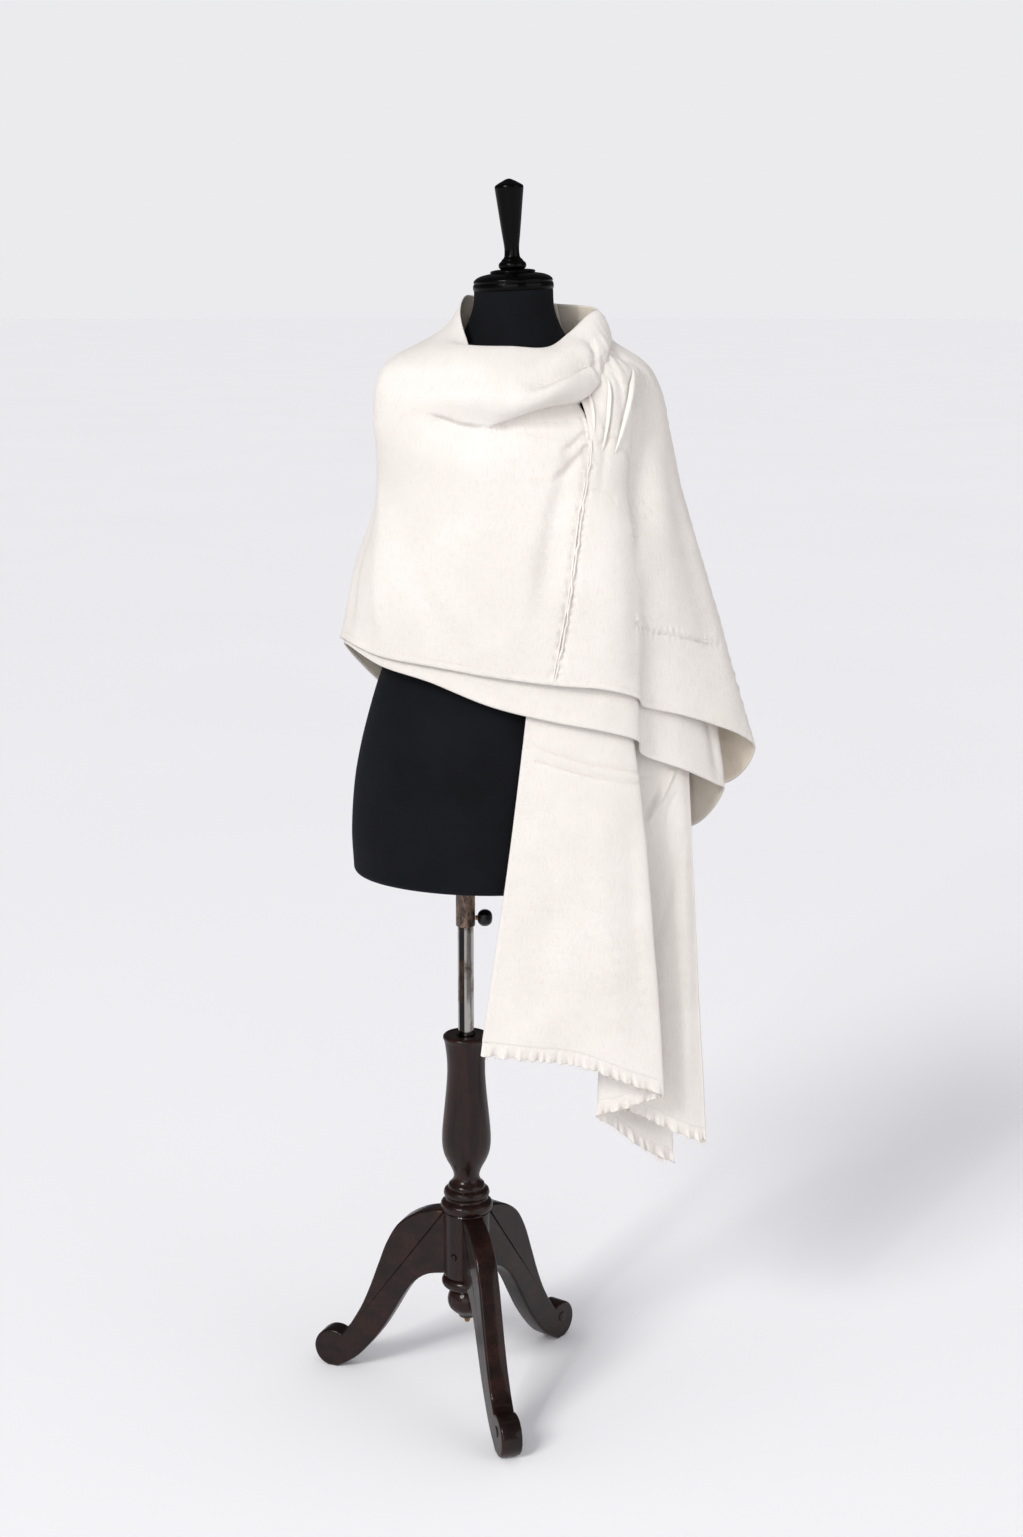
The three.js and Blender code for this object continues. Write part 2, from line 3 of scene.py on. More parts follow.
import bmesh
import bpy
import numpy as np
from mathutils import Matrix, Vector


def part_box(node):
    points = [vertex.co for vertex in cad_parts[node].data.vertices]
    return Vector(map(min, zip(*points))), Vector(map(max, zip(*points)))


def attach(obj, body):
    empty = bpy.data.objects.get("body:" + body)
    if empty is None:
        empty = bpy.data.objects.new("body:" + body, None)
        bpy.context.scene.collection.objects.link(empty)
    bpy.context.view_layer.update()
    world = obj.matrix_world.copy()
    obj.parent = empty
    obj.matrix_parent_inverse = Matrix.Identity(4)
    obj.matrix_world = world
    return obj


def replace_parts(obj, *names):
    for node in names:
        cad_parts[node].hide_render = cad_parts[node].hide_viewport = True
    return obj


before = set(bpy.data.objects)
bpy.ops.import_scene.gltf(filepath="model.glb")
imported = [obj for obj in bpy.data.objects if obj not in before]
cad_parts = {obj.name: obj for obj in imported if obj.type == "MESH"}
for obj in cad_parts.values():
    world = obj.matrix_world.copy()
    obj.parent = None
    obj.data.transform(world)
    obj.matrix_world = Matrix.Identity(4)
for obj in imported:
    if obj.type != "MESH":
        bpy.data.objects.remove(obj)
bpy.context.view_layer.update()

MM = 0.001
POLE_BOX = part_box("pole")
AXIS = np.array([(POLE_BOX[0].x + POLE_BOX[1].x) / 2, (POLE_BOX[0].y + POLE_BOX[1].y) / 2, 0])

# ---- driving dimensions, in millimetres ----------------------------------------------
CLOTH = 1.6                   # thickness of one layer of the wool
HEM = 2.4                     # and of its turned edges
SEAM = 0.004                  # half the opening at a seam, as a share of one column
FRINGE_DROP = 19              # height of the frilled band at each end of the shawl
FRILL_WAVE = 17               # usual length of one wave of the frill
FRILL_REACH = 5.2             # how far the frill waves out at its edge
STITCH_PITCH = 4.5            # from the start of one stitch to the start of the next

POLE_RADIUS = 10.8
SLEEVE_RADIUS = 13
SLEEVE_BORE = 11.2
SLEEVE_FOOT = 671
KNOB_HEIGHT = 682
DRUM_RADIUS = 32
LEG_THICKNESS = 29
LEG_ANGLES = [159, 286, 52]   # degrees from +X, seen from above
FOOT_CENTRE = [203, 27]       # distance from the pole, height
FOOT_RADIUS = 28
PEG_ANGLES = [106, 236, 349]
PEG_HEIGHT = 203

FORM_FOOT = 742
FORM_TOP = 1511
FORM_TURN = -17               # the form faces a little to its own right, in degrees
FORM_LEAN = 0.084             # sideways drift of its middle line for each mm of height
FORM_FOOT_X = 6               # the middle line at the foot of the form
NECK_FOOT = 1440              # above this height the middle line is upright
CAP_LEAN = -2.6               # the cap and finial tip back, in degrees


# ---- curves and surfaces -------------------------------------------------------------
def knot_span(a, b):
    """The spacing between two knots of a centripetal curve."""
    return np.maximum(((b - a) ** 2).sum(-1, keepdims=True), 1e-12) ** 0.25


def curve(knots, t, closed=False):
    """Points of centripetal Catmull-Rom curves. knots is (K, 3), or (K, M, 3) with one
    curve for each t, and t counts knots from the first."""
    knots, t = np.asarray(knots, float), np.asarray(t, float)
    count = len(knots)
    if knots.ndim == 2:
        knots = np.repeat(knots[:, None], len(t), axis=1)
    if closed:
        t = np.mod(t, count)
    else:
        t = np.clip(t, 0, count - 1 - 1e-9)
    first = np.floor(t).astype(int)
    part = (t - first)[:, None]
    each = np.arange(len(t))
    p1, p2 = knots[first % count, each], knots[(first + 1) % count, each]
    p0, p3 = knots[(first - 1) % count, each], knots[(first + 2) % count, each]
    if not closed:
        p0 = np.where((first == 0)[:, None], 2 * knots[0] - knots[1], p0)
        p3 = np.where((first == count - 2)[:, None], 2 * knots[-1] - knots[-2], p3)
    d0, d1, d2 = knot_span(p0, p1), knot_span(p1, p2), knot_span(p2, p3)
    out = ((p1 - p0) / d0 - (p2 - p0) / (d0 + d1) + (p2 - p1) / d1) * d1
    into = ((p2 - p1) / d1 - (p3 - p1) / (d1 + d2) + (p3 - p2) / d2) * d1
    square, cube = part ** 2, part ** 3
    return (p1 + out * part + (3 * (p2 - p1) - 2 * out - into) * square
            + (2 * (p1 - p2) + out + into) * cube)


def drape(rings, closed=False, first=0):
    """A surface through a stack of rings, or of open rails, as a function of arrays of
    columns and levels. Column first passes through the first point of each ring."""
    def place(column, level):
        across = [curve(ring, column - first, closed) for ring in rings]
        return curve(np.stack(across), level)
    return place


def form_middle(height):
    return FORM_FOOT_X + FORM_LEAN * (np.minimum(height, NECK_FOOT) - FORM_FOOT)


def mid_ring(upper, lower, swell=0):
    """A ring half way between two others, moved out from the middle of the form."""
    middle = (np.array(upper, float) + np.array(lower, float)) / 2
    out = middle.copy()
    out[:, 0] -= form_middle(middle[:, 2])
    out[:, 2] = 0
    return middle + swell * out / np.linalg.norm(out, axis=1, keepdims=True)


# ---- the shawl's rings and rails -----------------------------------------------------
# Sixteen columns run round the wrap from the wearer's right side (0) across the front to
# the seam (4), the hanging fold (6, 7), the tip at the left arm (10) and the back (12).
WRAP_TOP = [
    [-98, -2, 1406], [-104, -62, 1343], [-50, -119, 1353], [33, -145, 1342],
    [166, -105, 1393], [174, -90, 1412], [178, -72, 1426], [182, -52, 1434],
    [186, -32, 1439], [188, -12, 1443], [188, 10, 1443], [176, 42, 1441],
    [140, 72, 1438], [85, 86, 1437], [30, 80, 1437], [-18, 50, 1437],
]
WRAP_SHOULDER = [
    [-101, 0, 1372], [-106, -70, 1312], [-54, -124, 1312], [32, -150, 1305],
    [159, -131, 1330], [188, -110, 1378], [209, -91, 1393], [223, -69, 1401],
    [233, -43, 1406], [240, -20, 1408], [242, 8, 1408], [225, 56, 1406],
    [178, 92, 1405], [98, 112, 1404], [10, 106, 1404], [-66, 64, 1404],
]
WRAP_CHEST = [
    [-112, 8, 1250], [-104, -78, 1240], [-52, -124, 1236], [30, -149, 1230],
    [146, -149, 1233], [186, -141, 1240], [212, -127, 1246], [224, -112, 1250],
    [256, -80, 1250], [281, -36, 1250], [286, 10, 1250], [268, 66, 1242],
    [200, 114, 1236], [100, 140, 1234], [0, 130, 1240], [-82, 82, 1246],
]
WRAP_HEM = [
    [-164, 22, 1061], [-108, -76, 1052], [-41, -121, 1046], [35, -146, 1036],
    [114, -153, 1027], [180, -147, 1020], [222, -127, 1006], [232, -100, 990],
    [288, -69, 972], [364, -18, 937], [386, 8, 915], [356, 75, 853],
    [250, 140, 842], [110, 168, 875], [-20, 154, 945], [-122, 104, 1020],
]
WRAP_BULGE = 5                # how far the wrap swells out half way to its hem
WRAP_MIDDLE = mid_ring(WRAP_CHEST, WRAP_HEM, WRAP_BULGE)

UNDER_TOP = [
    [-118, 12, 1180], [-98, -72, 1175], [-48, -114, 1172], [32, -139, 1168],
    [138, -140, 1168], [186, -132, 1172], [210, -116, 1176], [219, -101, 1178],
    [250, -70, 1180], [280, -34, 1180], [292, 8, 1180], [272, 62, 1175],
    [208, 108, 1170], [104, 136, 1168], [-2, 125, 1170], [-84, 78, 1175],
]
UNDER_HEM = [
    [-159, 18, 1054], [-106, -69, 1038], [-41, -113, 1024], [35, -137, 997],
    [110, -143, 979], [182, -136, 964], [224, -116, 948], [230, -89, 926],
    [288, -60, 899], [332, -25, 873], [345, -3, 861], [308, 60, 796],
    [228, 124, 790], [100, 152, 826], [-20, 138, 905], [-117, 92, 990],
]
under = drape([UNDER_TOP, mid_ring(UNDER_TOP, UNDER_HEM), UNDER_HEM], closed=True)

# The front sheet's rails run from the back seam (-4) round the wearer's right side and
# along the cowl to the left shoulder (7). They stand up as a collar behind the neck.
NECK_EDGE = [
    [122, 62, 1493], [65, 76, 1497], [20, 54, 1502], [3, 22, 1503], [-3, -10, 1485],
    [4, -56, 1454], [20, -84, 1425], [61, -92, 1420], [104, -87, 1421], [130, -68, 1436],
    [160, -28, 1462], [172, -8, 1452],
]
NECK_CREST = [
    [128, 66, 1467], [73, 80, 1469], [24, 64, 1472], [-8, 31, 1473], [-24, 4, 1463],
    [-30, -58, 1450], [17, -95, 1444], [61, -104, 1443], [107, -98, 1442], [134, -78, 1460],
    [170, -30, 1486], [181, -8, 1472],
]
NECK_SWELL = [
    [140, 73, 1443], [86, 87, 1442], [31, 82, 1442], [-22, 50, 1443], [-84, 8, 1425],
    [-97, -74, 1411], [-14, -146, 1394], [55, -164, 1388], [116, -157, 1400],
    [160, -118, 1422], [184, -58, 1449], [189, -18, 1452],
]
NECK_FALL = [
    [159, 83, 1422], [92, 100, 1421], [20, 94, 1421], [-44, 58, 1421], [-99, 2, 1394],
    [-108, -74, 1348], [-50, -124, 1356], [33, -148, 1345], [92, -146, 1362],
    [151, -119, 1380], [173, -92, 1408], [180, -59, 1433],
]
FRONT_START, FRONT_SEAM, COWL_END = -4, 5, 7
FALL_LEVEL, FRONT_HEM_LEVEL = 3, 7


def front(column, level):
    """The front sheet: the cowl and collar above level 3, and the wrap below it."""
    round_wrap = np.interp(column, [-4, 3, 5], [-4, 3, 4])
    rails = [NECK_EDGE, NECK_CREST, NECK_SWELL, NECK_FALL]
    rows = [curve(rail, column - FRONT_START) for rail in rails]
    for ring in (WRAP_SHOULDER, WRAP_CHEST, WRAP_MIDDLE, WRAP_HEM):
        rows.append(curve(ring, round_wrap, closed=True))
    return curve(np.stack(rows), level)


# The shoulder sheet runs from the front seam (4) round the left arm to the back seam
# (12). Above level 2 its last columns stand up as the collar's other half.
# From the seam to the collar its top runs on a little way under the cowl.
SHOULDER_TOP = WRAP_TOP[:4] + [
    [143, -111, 1388], [165, -97, 1412], [177, -73, 1434], [182, -51, 1440], [187, -30, 1446],
    [189, -12, 1450], [188, 10, 1446], [176, 42, 1442], [140, 73, 1443],
] + WRAP_TOP[13:]
TUCKED_EDGE = [
    [114, -86, 1412], [132, -74, 1430], [143, -57, 1446], [152, -40, 1455], [164, -24, 1461],
]
TUCKED_TOP = [
    [126, -98, 1400], [147, -86, 1418], [160, -66, 1436], [169, -44, 1446], [174, -26, 1453],
]
COLLAR_EDGE = [[180, -20, 1474], [176, 0, 1482], [166, 26, 1489], [122, 62, 1493]]
COLLAR_CREST = [[184, -16, 1459], [179, 3, 1464], [169, 32, 1467], [128, 66, 1467]]
SHOULDER_START, SHOULDER_END, TUCKED_FROM, COLLAR_START = 4, 12, 4.25, 9.4
COLLAR_FOOT_LEVEL, SHOULDER_HEM_LEVEL = 2, 6


def shoulder(column, level):
    rails = (TUCKED_EDGE + COLLAR_EDGE, TUCKED_TOP + COLLAR_CREST)
    rows = [curve(rail, column - SHOULDER_START) for rail in rails]
    for ring in (SHOULDER_TOP, WRAP_SHOULDER, WRAP_CHEST, WRAP_MIDDLE, WRAP_HEM):
        rows.append(curve(ring, column, closed=True))
    return curve(np.stack(rows), level)


# The front end is folded in three like a Z. Rails run along the fold's plan.
TAIL_A_TOP = [
    [94, -129, 1090], [128, -130, 1090], [158, -127, 1090], [184, -119, 1090],
    [199, -107, 1090], [196, -95, 1090], [192, -84, 1088], [190, -72, 1086],
    [206, -60, 1084], [222, -42, 1080], [240, -16, 1076],
]
TAIL_A_MIDDLE = [
    [60, -134, 800], [110, -134, 797], [158, -131, 794], [206, -123, 788],
    [238, -109, 782], [228, -96, 779], [206, -84, 776], [190, -70, 772],
    [202, -54, 766], [232, -32, 756], [264, -4, 746],
]
TAIL_A_END = [
    [22, -128, 531], [80, -127, 524], [150, -123, 514], [218, -114, 486],
    [265, -100, 464], [245, -90, 456], [208, -79, 438], [177, -65, 424],
    [198, -48, 404], [240, -24, 363], [286, 6, 330],
]
TAIL_B_TOP = [
    [222, -72, 1020], [240, -62, 1019], [258, -53, 1018], [276, -43, 1016], [288, -31, 1014],
]
TAIL_B_MIDDLE = [
    [216, -66, 760], [242, -60, 756], [268, -54, 752], [291, -48, 748], [303, -38, 745],
]
TAIL_B_END = [
    [208, -60, 434], [240, -57, 420], [276, -51, 400], [306, -46, 385], [326, -38, 377],
]
tail_a = drape([TAIL_A_TOP, TAIL_A_MIDDLE, TAIL_A_END])
tail_b = drape([TAIL_B_TOP, TAIL_B_MIDDLE, TAIL_B_END])


# ---- folds and creases ---------------------------------------------------------------
def unit(vectors):
    return vectors / np.maximum(np.linalg.norm(vectors, axis=-1, keepdims=True), 1e-9)


def smoothstep(value, low, high):
    share = np.clip((value - low) / (high - low), 0, 1)
    return share * share * (3 - 2 * share)


def grid_normals(points):
    """Unit normals of a grid of points, out from the wearer."""
    return unit(np.cross(np.gradient(points, axis=1), np.gradient(points, axis=0)))


def fold(place, points, normals, route, height, width, steep=0.0, fade=0.3):
    """How far one fold moves each point of a grid along its normal: a ridge, or a trough
    where height is negative. It runs along a route of [column, level]. fade is the share
    of it at each end where the fold rises, and steep narrows the side on its left."""
    route = np.array(route, float)
    t = np.linspace(0, len(route) - 1, 9 * len(route))
    line = curve(np.column_stack([route, np.zeros(len(route))]), t)
    line = place(line[:, 0], line[:, 1])
    near = np.abs(points - line.mean(0)).max(-1) < np.abs(line - line.mean(0)).max() + 4 * width
    flat, out = points[near], normals[near]
    apart = flat[:, None] - line[None]
    squared = (apart ** 2).sum(-1)
    nearest = squared.argmin(1)
    run = np.gradient(line, axis=0)[nearest]
    side = (np.cross(run, flat - line[nearest]) * out).sum(-1)
    reach = np.where(side > 0, width * (1 - steep), width)
    distance = np.sqrt(squared[np.arange(len(flat)), nearest])
    share = nearest / (len(line) - 1)
    strength = smoothstep(share, -0.02, fade) * (1 - smoothstep(share, 1 - fade, 1.02))
    moved = np.zeros(points.shape[:2])
    moved[near] = height * strength * np.exp(-(distance / reach) ** 2)
    return moved


def ripple(points, size=0.8):
    """Slow unevenness, as cloth that was draped by hand has."""
    x, y, z = points[..., 0], points[..., 1], points[..., 2]
    wave = np.sin(x / 31 + z / 47 + 0.6) + np.sin(y / 27 - z / 38 + 2.1)
    wave += 0.8 * np.sin((x + y) / 19 + z / 83 + 4.0) + 0.5 * np.sin((x - z) / 15 + y / 23)
    return size * wave / 2


def puckers(points, size, pitch=11.0):
    """Short wrinkles, for the cloth beside a tight row of stitches."""
    along = points[..., 0] * 0.83 + points[..., 1] * 0.56
    phase = 2 * math.pi * along / pitch + 1.7 * np.sin(along / 17) + points[..., 2] / 9
    return size * np.sin(phase)


# ---- meshes --------------------------------------------------------------------------
def steps(from_, to, count):
    return np.linspace(from_, to, count + 1)


def mesh_object(name, vertices, faces, material, smooth=True):
    """A mesh from points in design millimetres."""
    mesh = bpy.data.meshes.new(name)
    placed = np.asarray(vertices, float) * MM + AXIS
    mesh.from_pydata(placed.tolist(), [], [list(map(int, face)) for face in faces])
    mesh.polygons.foreach_set("use_smooth", [smooth] * len(mesh.polygons))
    mesh.materials.append(material)
    mesh.update()
    piece = bpy.data.objects.new(name, mesh)
    bpy.context.scene.collection.objects.link(piece)
    return piece


def points_out(piece):
    """Turns the faces of a closed mesh so that they all point out."""
    shape = bmesh.new()
    shape.from_mesh(piece.data)
    bmesh.ops.recalc_face_normals(shape, faces=shape.faces)
    shape.to_mesh(piece.data)
    shape.free()


def hem_thickness(shape, hems):
    """Thickness over a grid, with a thicker turned edge on the sides that hems names."""
    thick = np.full(shape, CLOTH)
    edges = {"foot": np.s_[:, -2:], "top": np.s_[:, :2], "start": np.s_[:2], "end": np.s_[-2:]}
    for hem in hems:
        thick[edges[hem]] = HEM
    return thick


def shell(points, thickness, shown):
    """A thin closed shell on both sides of a grid of points, with a rounded rim. shown
    says which cells of the grid are cloth. Returns vertices and faces."""
    across, down = points.shape[:2]
    out = grid_normals(points) * (thickness / 2)[..., None]
    index = np.arange(across * down).reshape(across, down)
    corners = [index[:-1, :-1], index[:-1, 1:], index[1:, 1:], index[1:, :-1]]
    cells = np.stack(corners, -1)[shown]
    outer, inner = cells, cells[:, ::-1] + across * down
    edges = np.concatenate([cells[:, [k, (k + 1) % 4]] for k in range(4)])
    both = np.sort(edges, axis=1)
    code = both[:, 0] * across * down + both[:, 1]
    _, first, uses = np.unique(code, return_index=True, return_counts=True)
    rim = edges[first[uses == 1]]
    vertices = np.concatenate([(points + out).reshape(-1, 3), (points - out).reshape(-1, 3)])
    middles, where = rim_middles(points.reshape(-1, 3), cells, rim, thickness.ravel())
    vertices = np.concatenate([vertices, middles])
    start = 2 * across * down
    a, b = rim[:, 0], rim[:, 1]
    am, bm = where[a] + start, where[b] + start
    rims = np.concatenate([
        np.column_stack([b, a, am, bm]),
        np.column_stack([bm, am, a + across * down, b + across * down]),
    ])
    faces = np.concatenate([outer, inner, rims])
    used, faces = np.unique(faces, return_inverse=True)
    return vertices[used], faces.reshape(-1, 4), used % (across * down)


def rim_middles(flat, cells, rim, thickness):
    """The rim's outermost points, half a thickness beyond the edge of the cloth."""
    rim_points = np.unique(rim)
    inward = np.zeros_like(flat)
    centres = flat[cells].mean(1)
    for k in range(4):
        np.add.at(inward, cells[:, k], unit(centres - flat[cells[:, k]]))
    along = np.zeros_like(flat)
    run = unit(flat[rim[:, 1]] - flat[rim[:, 0]])
    np.add.at(along, rim[:, 0], run)
    np.add.at(along, rim[:, 1], run)
    along = unit(along)
    inward -= (inward * along).sum(-1, keepdims=True) * along
    where = np.zeros(len(flat), int)
    where[rim_points] = np.arange(len(rim_points))
    reach = 0.5 * thickness[rim_points, None]
    return flat[rim_points] - unit(inward[rim_points]) * reach, where


def thread_lengths(points):
    """How far each point of a grid is along the warp and the weft, in metres."""
    across = np.linalg.norm(np.diff(points, axis=0), axis=-1)
    down = np.linalg.norm(np.diff(points, axis=1), axis=-1)
    u = np.append(0, np.cumsum(across.mean(1)))[:, None]
    v = np.append(0, np.cumsum(down.mean(0)))[None]
    flat = np.zeros(points.shape[:2])
    return np.stack([u + flat, v + flat, flat], -1) * MM


def cloth(name, place, columns, levels, shape, hems=(), shown=None, thin=1.0, lining=None):
    """A piece of cloth on part of a surface. shape(points, normals, C, L) says how far
    each point of the grid moves along its normal."""
    grid_c, grid_l = np.meshgrid(columns, levels, indexing="ij")
    size = grid_c.shape
    flat = place(grid_c.ravel(), grid_l.ravel())
    points = flat.reshape(*size, 3)
    normals = grid_normals(points)
    moved = points + normals * shape(points, normals, grid_c, grid_l)[..., None]
    if shown is None:
        shown = np.ones((size[0] - 1, size[1] - 1), bool)
    vertices, faces, source = shell(moved, thin * hem_thickness(size, hems), shown)
    piece = mesh_object(name, vertices, faces, WOOL)
    # Inner faces take the painted-glow copy of the wool unless a lining is given.
    piece.data.materials.append(lining or WOOL_INNER_PAINTED_GLOW)
    inner = np.arange(len(faces)) // int(shown.sum()) == 1
    piece.data.polygons.foreach_set("material_index", inner.astype(np.int32))
    lengths = thread_lengths(points).reshape(-1, 3)
    threads = lengths[np.minimum(source, len(lengths) - 1)]
    layer = piece.data.attributes.new("threads", "FLOAT_VECTOR", "POINT")
    layer.data.foreach_set("vector", threads.astype(np.float32).ravel())
    return piece


def ring_faces(count, around):
    """Faces of a closed tube through count rings of points, with both ends capped."""
    faces = []
    for i in range(count - 1):
        for k in range(around):
            low, next_ = i * around + k, i * around + (k + 1) % around
            faces.append([low, next_, next_ + around, low + around])
    faces.append(list(range(around))[::-1])
    faces.append([(count - 1) * around + k for k in range(around)])
    return faces


def tube(line, radius, sides=6):
    """Vertices and faces of a thin round tube along a line, with pointed ends."""
    line = np.asarray(line, float)
    run = unit(np.gradient(line, axis=0))
    across = unit(np.cross(run, [0.31, 0.62, 0.72]))
    up = np.cross(run, across)
    angle = 2 * math.pi * np.arange(sides) / sides
    radii = np.full(len(line), radius)
    radii[[0, -1]] *= 0.35
    ring = (across[:, None] * np.cos(angle)[:, None] + up[:, None] * np.sin(angle)[:, None])
    vertices = (line[:, None] + ring * radii[:, None, None]).reshape(-1, 3)
    return vertices, ring_faces(len(line), sides)


def joined(name, parts, material):
    """One mesh of many small parts, each (vertices, faces)."""
    vertices, faces, start = [], [], 0
    for points, cells in parts:
        vertices.append(points)
        faces += [[start + k for k in cell] for cell in cells]
        start += len(points)
    return mesh_object(name, np.concatenate(vertices), faces, material)


def turned(name, strokes, material, sides=72, ring_step=0.16):
    """A turned piece on the Z axis. Its profile is a list of strokes of [radius, height]:
    one of three or more points is a smooth curve through them, and strokes meet at corners."""
    profile = []
    for stroke in strokes:
        stroke = np.array(stroke, float)
        if len(stroke) > 2:
            t = np.arange(0, len(stroke) - 1 + 1e-6, ring_step)
            fine = curve(np.column_stack([stroke, np.zeros(len(stroke))]), t)[:, :2]
            stroke = np.concatenate([fine, stroke[-1:]])
        profile.append(soft_corner_points(stroke))
    profile = np.concatenate(profile)
    keep = np.append(True, np.linalg.norm(np.diff(profile, axis=0), axis=1) > 0.02)
    profile = profile[keep]
    angle = 2 * math.pi * np.arange(sides) / sides
    radius, height = np.maximum(profile[:, 0], 0.05), profile[:, 1]
    x, y = np.outer(radius, np.cos(angle)), np.outer(radius, np.sin(angle))
    vertices = np.stack([x, y, np.repeat(height[:, None], sides, 1)], -1).reshape(-1, 3)
    piece = mesh_object(name, vertices, ring_faces(len(profile), sides), material)
    points_out(piece)
    return piece


def soft_corner_points(stroke, near=0.35):
    """The stroke with a point close to each end, so that its corners stay narrow."""
    first, last = stroke[0], stroke[-1]
    a = first + near * unit(stroke[1] - first)
    b = last + near * unit(stroke[-2] - last)
    if np.linalg.norm(stroke[1] - first) < 2 * near:
        return stroke
    return np.concatenate([[first, a], stroke[1:-1], [b, last]])


# ---- materials -----------------------------------------------------------------------
def srgb(red, green, blue):
    """A colour from its display values, 0 to 255, as linear light."""
    share = [value / 255 for value in (red, green, blue)]
    line = [x / 12.92 if x <= 0.04045 else ((x + 0.055) / 1.055) ** 2.4 for x in share]
    return (*line, 1)


class Finish:
    """A material being built: its nodes, and short ways to add and link them."""

    def __init__(self, name, **sockets):
        self.material = bpy.data.materials.new(name)
        self.material.use_nodes = True
        self.nodes = self.material.node_tree.nodes
        self.links = self.material.node_tree.links
        self.shader = self.nodes["Principled BSDF"]
        for socket, value in sockets.items():
            self.shader.inputs[socket.replace("_", " ")].default_value = value

    def node(self, kind, inputs=None, **settings):
        made = self.nodes.new(kind)
        for key, value in settings.items():
            setattr(made, key, value)
        for key, value in (inputs or {}).items():
            if isinstance(value, bpy.types.NodeSocket):
                self.links.new(value, made.inputs[key])
            else:
                made.inputs[key].default_value = value
        return made

    def object_place(self, scale=(1, 1, 1)):
        """The place on the object, stretched by scale."""
        where = self.node("ShaderNodeTexCoord").outputs["Object"]
        return self.node("ShaderNodeMapping", {"Vector": where, "Scale": scale}).outputs[0]

    def noise(self, where, scale, detail=4.0, roughness=0.55):
        values = {"Vector": where, "Scale": scale, "Detail": detail, "Roughness": roughness}
        return self.node("ShaderNodeTexNoise", values).outputs["Fac"]

    def ramp(self, factor, stops):
        """Colours or greys by factor; stops are (place, colour)."""
        made = self.node("ShaderNodeValToRGB", {"Fac": factor})
        stop = made.color_ramp.elements
        while len(stop) < len(stops):
            stop.new(0.5)
        for item, (place, colour) in zip(stop, stops):
            item.position = place
            item.color = colour if hasattr(colour, "__len__") else (colour,) * 3 + (1,)
        return made.outputs["Color"]

    def mix(self, factor, a, b, blend="MIX"):
        made = self.node("ShaderNodeMix", data_type="RGBA", blend_type=blend)
        for key, value in ((0, factor), (6, a), (7, b)):
            if isinstance(value, bpy.types.NodeSocket):
                self.links.new(value, made.inputs[key])
            else:
                made.inputs[key].default_value = value
        return made.outputs[2]

    def sum(self, a, b, operation="ADD"):
        return self.node("ShaderNodeMath", {0: a, 1: b}, operation=operation).outputs[0]

    def colour(self, socket):
        self.links.new(socket, self.shader.inputs["Base Color"])

    def roughness(self, socket):
        self.links.new(socket, self.shader.inputs["Roughness"])

    def bump(self, height, depth, strength=1.0):
        values = {"Height": height, "Distance": depth, "Strength": strength}
        made = self.node("ShaderNodeBump", values)
        self.links.new(made.outputs[0], self.shader.inputs["Normal"])


def wool_finish(name="wool", painted_glow=0.0):
    """Plain-woven wool: fine threads both ways, slubs along them, and a soft bloom."""
    made = Finish(name, Sheen_Weight=0.12, Sheen_Roughness=0.5, Specular_IOR_Level=0.12)
    made.shader.inputs["Sheen Tint"].default_value = srgb(255, 246, 236)
    threads = made.node("ShaderNodeAttribute", attribute_name="threads").outputs["Vector"]

    def stretched(across, along, detail=3.0):
        place = made.node("ShaderNodeMapping", {"Vector": threads, "Scale": (across, along, 1)})
        return made.noise(place.outputs[0], 1.0, detail)

    warp, weft = stretched(1500, 110), stretched(90, 1300)
    slub = stretched(380, 60, 2.0)
    crepe = stretched(430, 430, 4.0)
    broad = made.noise(made.object_place(), 9.0, 3.0)
    woven = made.sum(warp, weft)
    # The last argument makes these colours lighter and warmer: a painted glow for the inner faces, standing
    # in for light that bounces between the folds and shines through the wool.
    pale = srgb(228 + 16 * painted_glow, 223 + 12 * painted_glow, 218 + 2 * painted_glow)
    deep = srgb(206 + 8 * painted_glow, 194 + 6 * painted_glow, 188 - 4 * painted_glow)
    uneven = srgb(219 + 12 * painted_glow, 214 + 6 * painted_glow, 208 - 4 * painted_glow)
    base = made.mix(made.ramp(broad, [(0.3, 0.0), (0.7, 1.0)]), pale, uneven)
    threaded = made.ramp(made.sum(woven, crepe), [(1.15, 1.0), (0.85, 0.0)])
    tint = made.mix(made.ramp(woven, [(0.42, 0.26), (0.62, 0.0)]), base, deep)
    tint = made.mix(made.ramp(slub, [(0.34, 0.2), (0.46, 0.0)]), tint, deep)
    tint = made.mix(made.ramp(crepe, [(0.36, 0.12), (0.5, 0.0)]), tint, deep)
    made.colour(tint)
    made.roughness(made.ramp(threaded, [(0.0, 0.92), (1.0, 0.8)]))
    relief = made.sum(woven, made.sum(crepe, 0.9, "MULTIPLY"))
    relief = made.sum(relief, made.sum(slub, 0.6, "MULTIPLY"))
    made.bump(relief, 0.0009, 0.6)
    return made.material


def thread_finish():
    """Sewing thread and loose fibres of the wool."""
    made = Finish("wool_thread", Roughness=0.85, Sheen_Weight=0.3, Specular_IOR_Level=0.15)
    twist = made.noise(made.object_place((900, 900, 2600)), 1.0, 2.0)
    made.colour(made.ramp(twist, [(0.3, srgb(214, 202, 188)), (0.7, srgb(240, 232, 220))]))
    made.bump(twist, 0.0001)
    return made.material


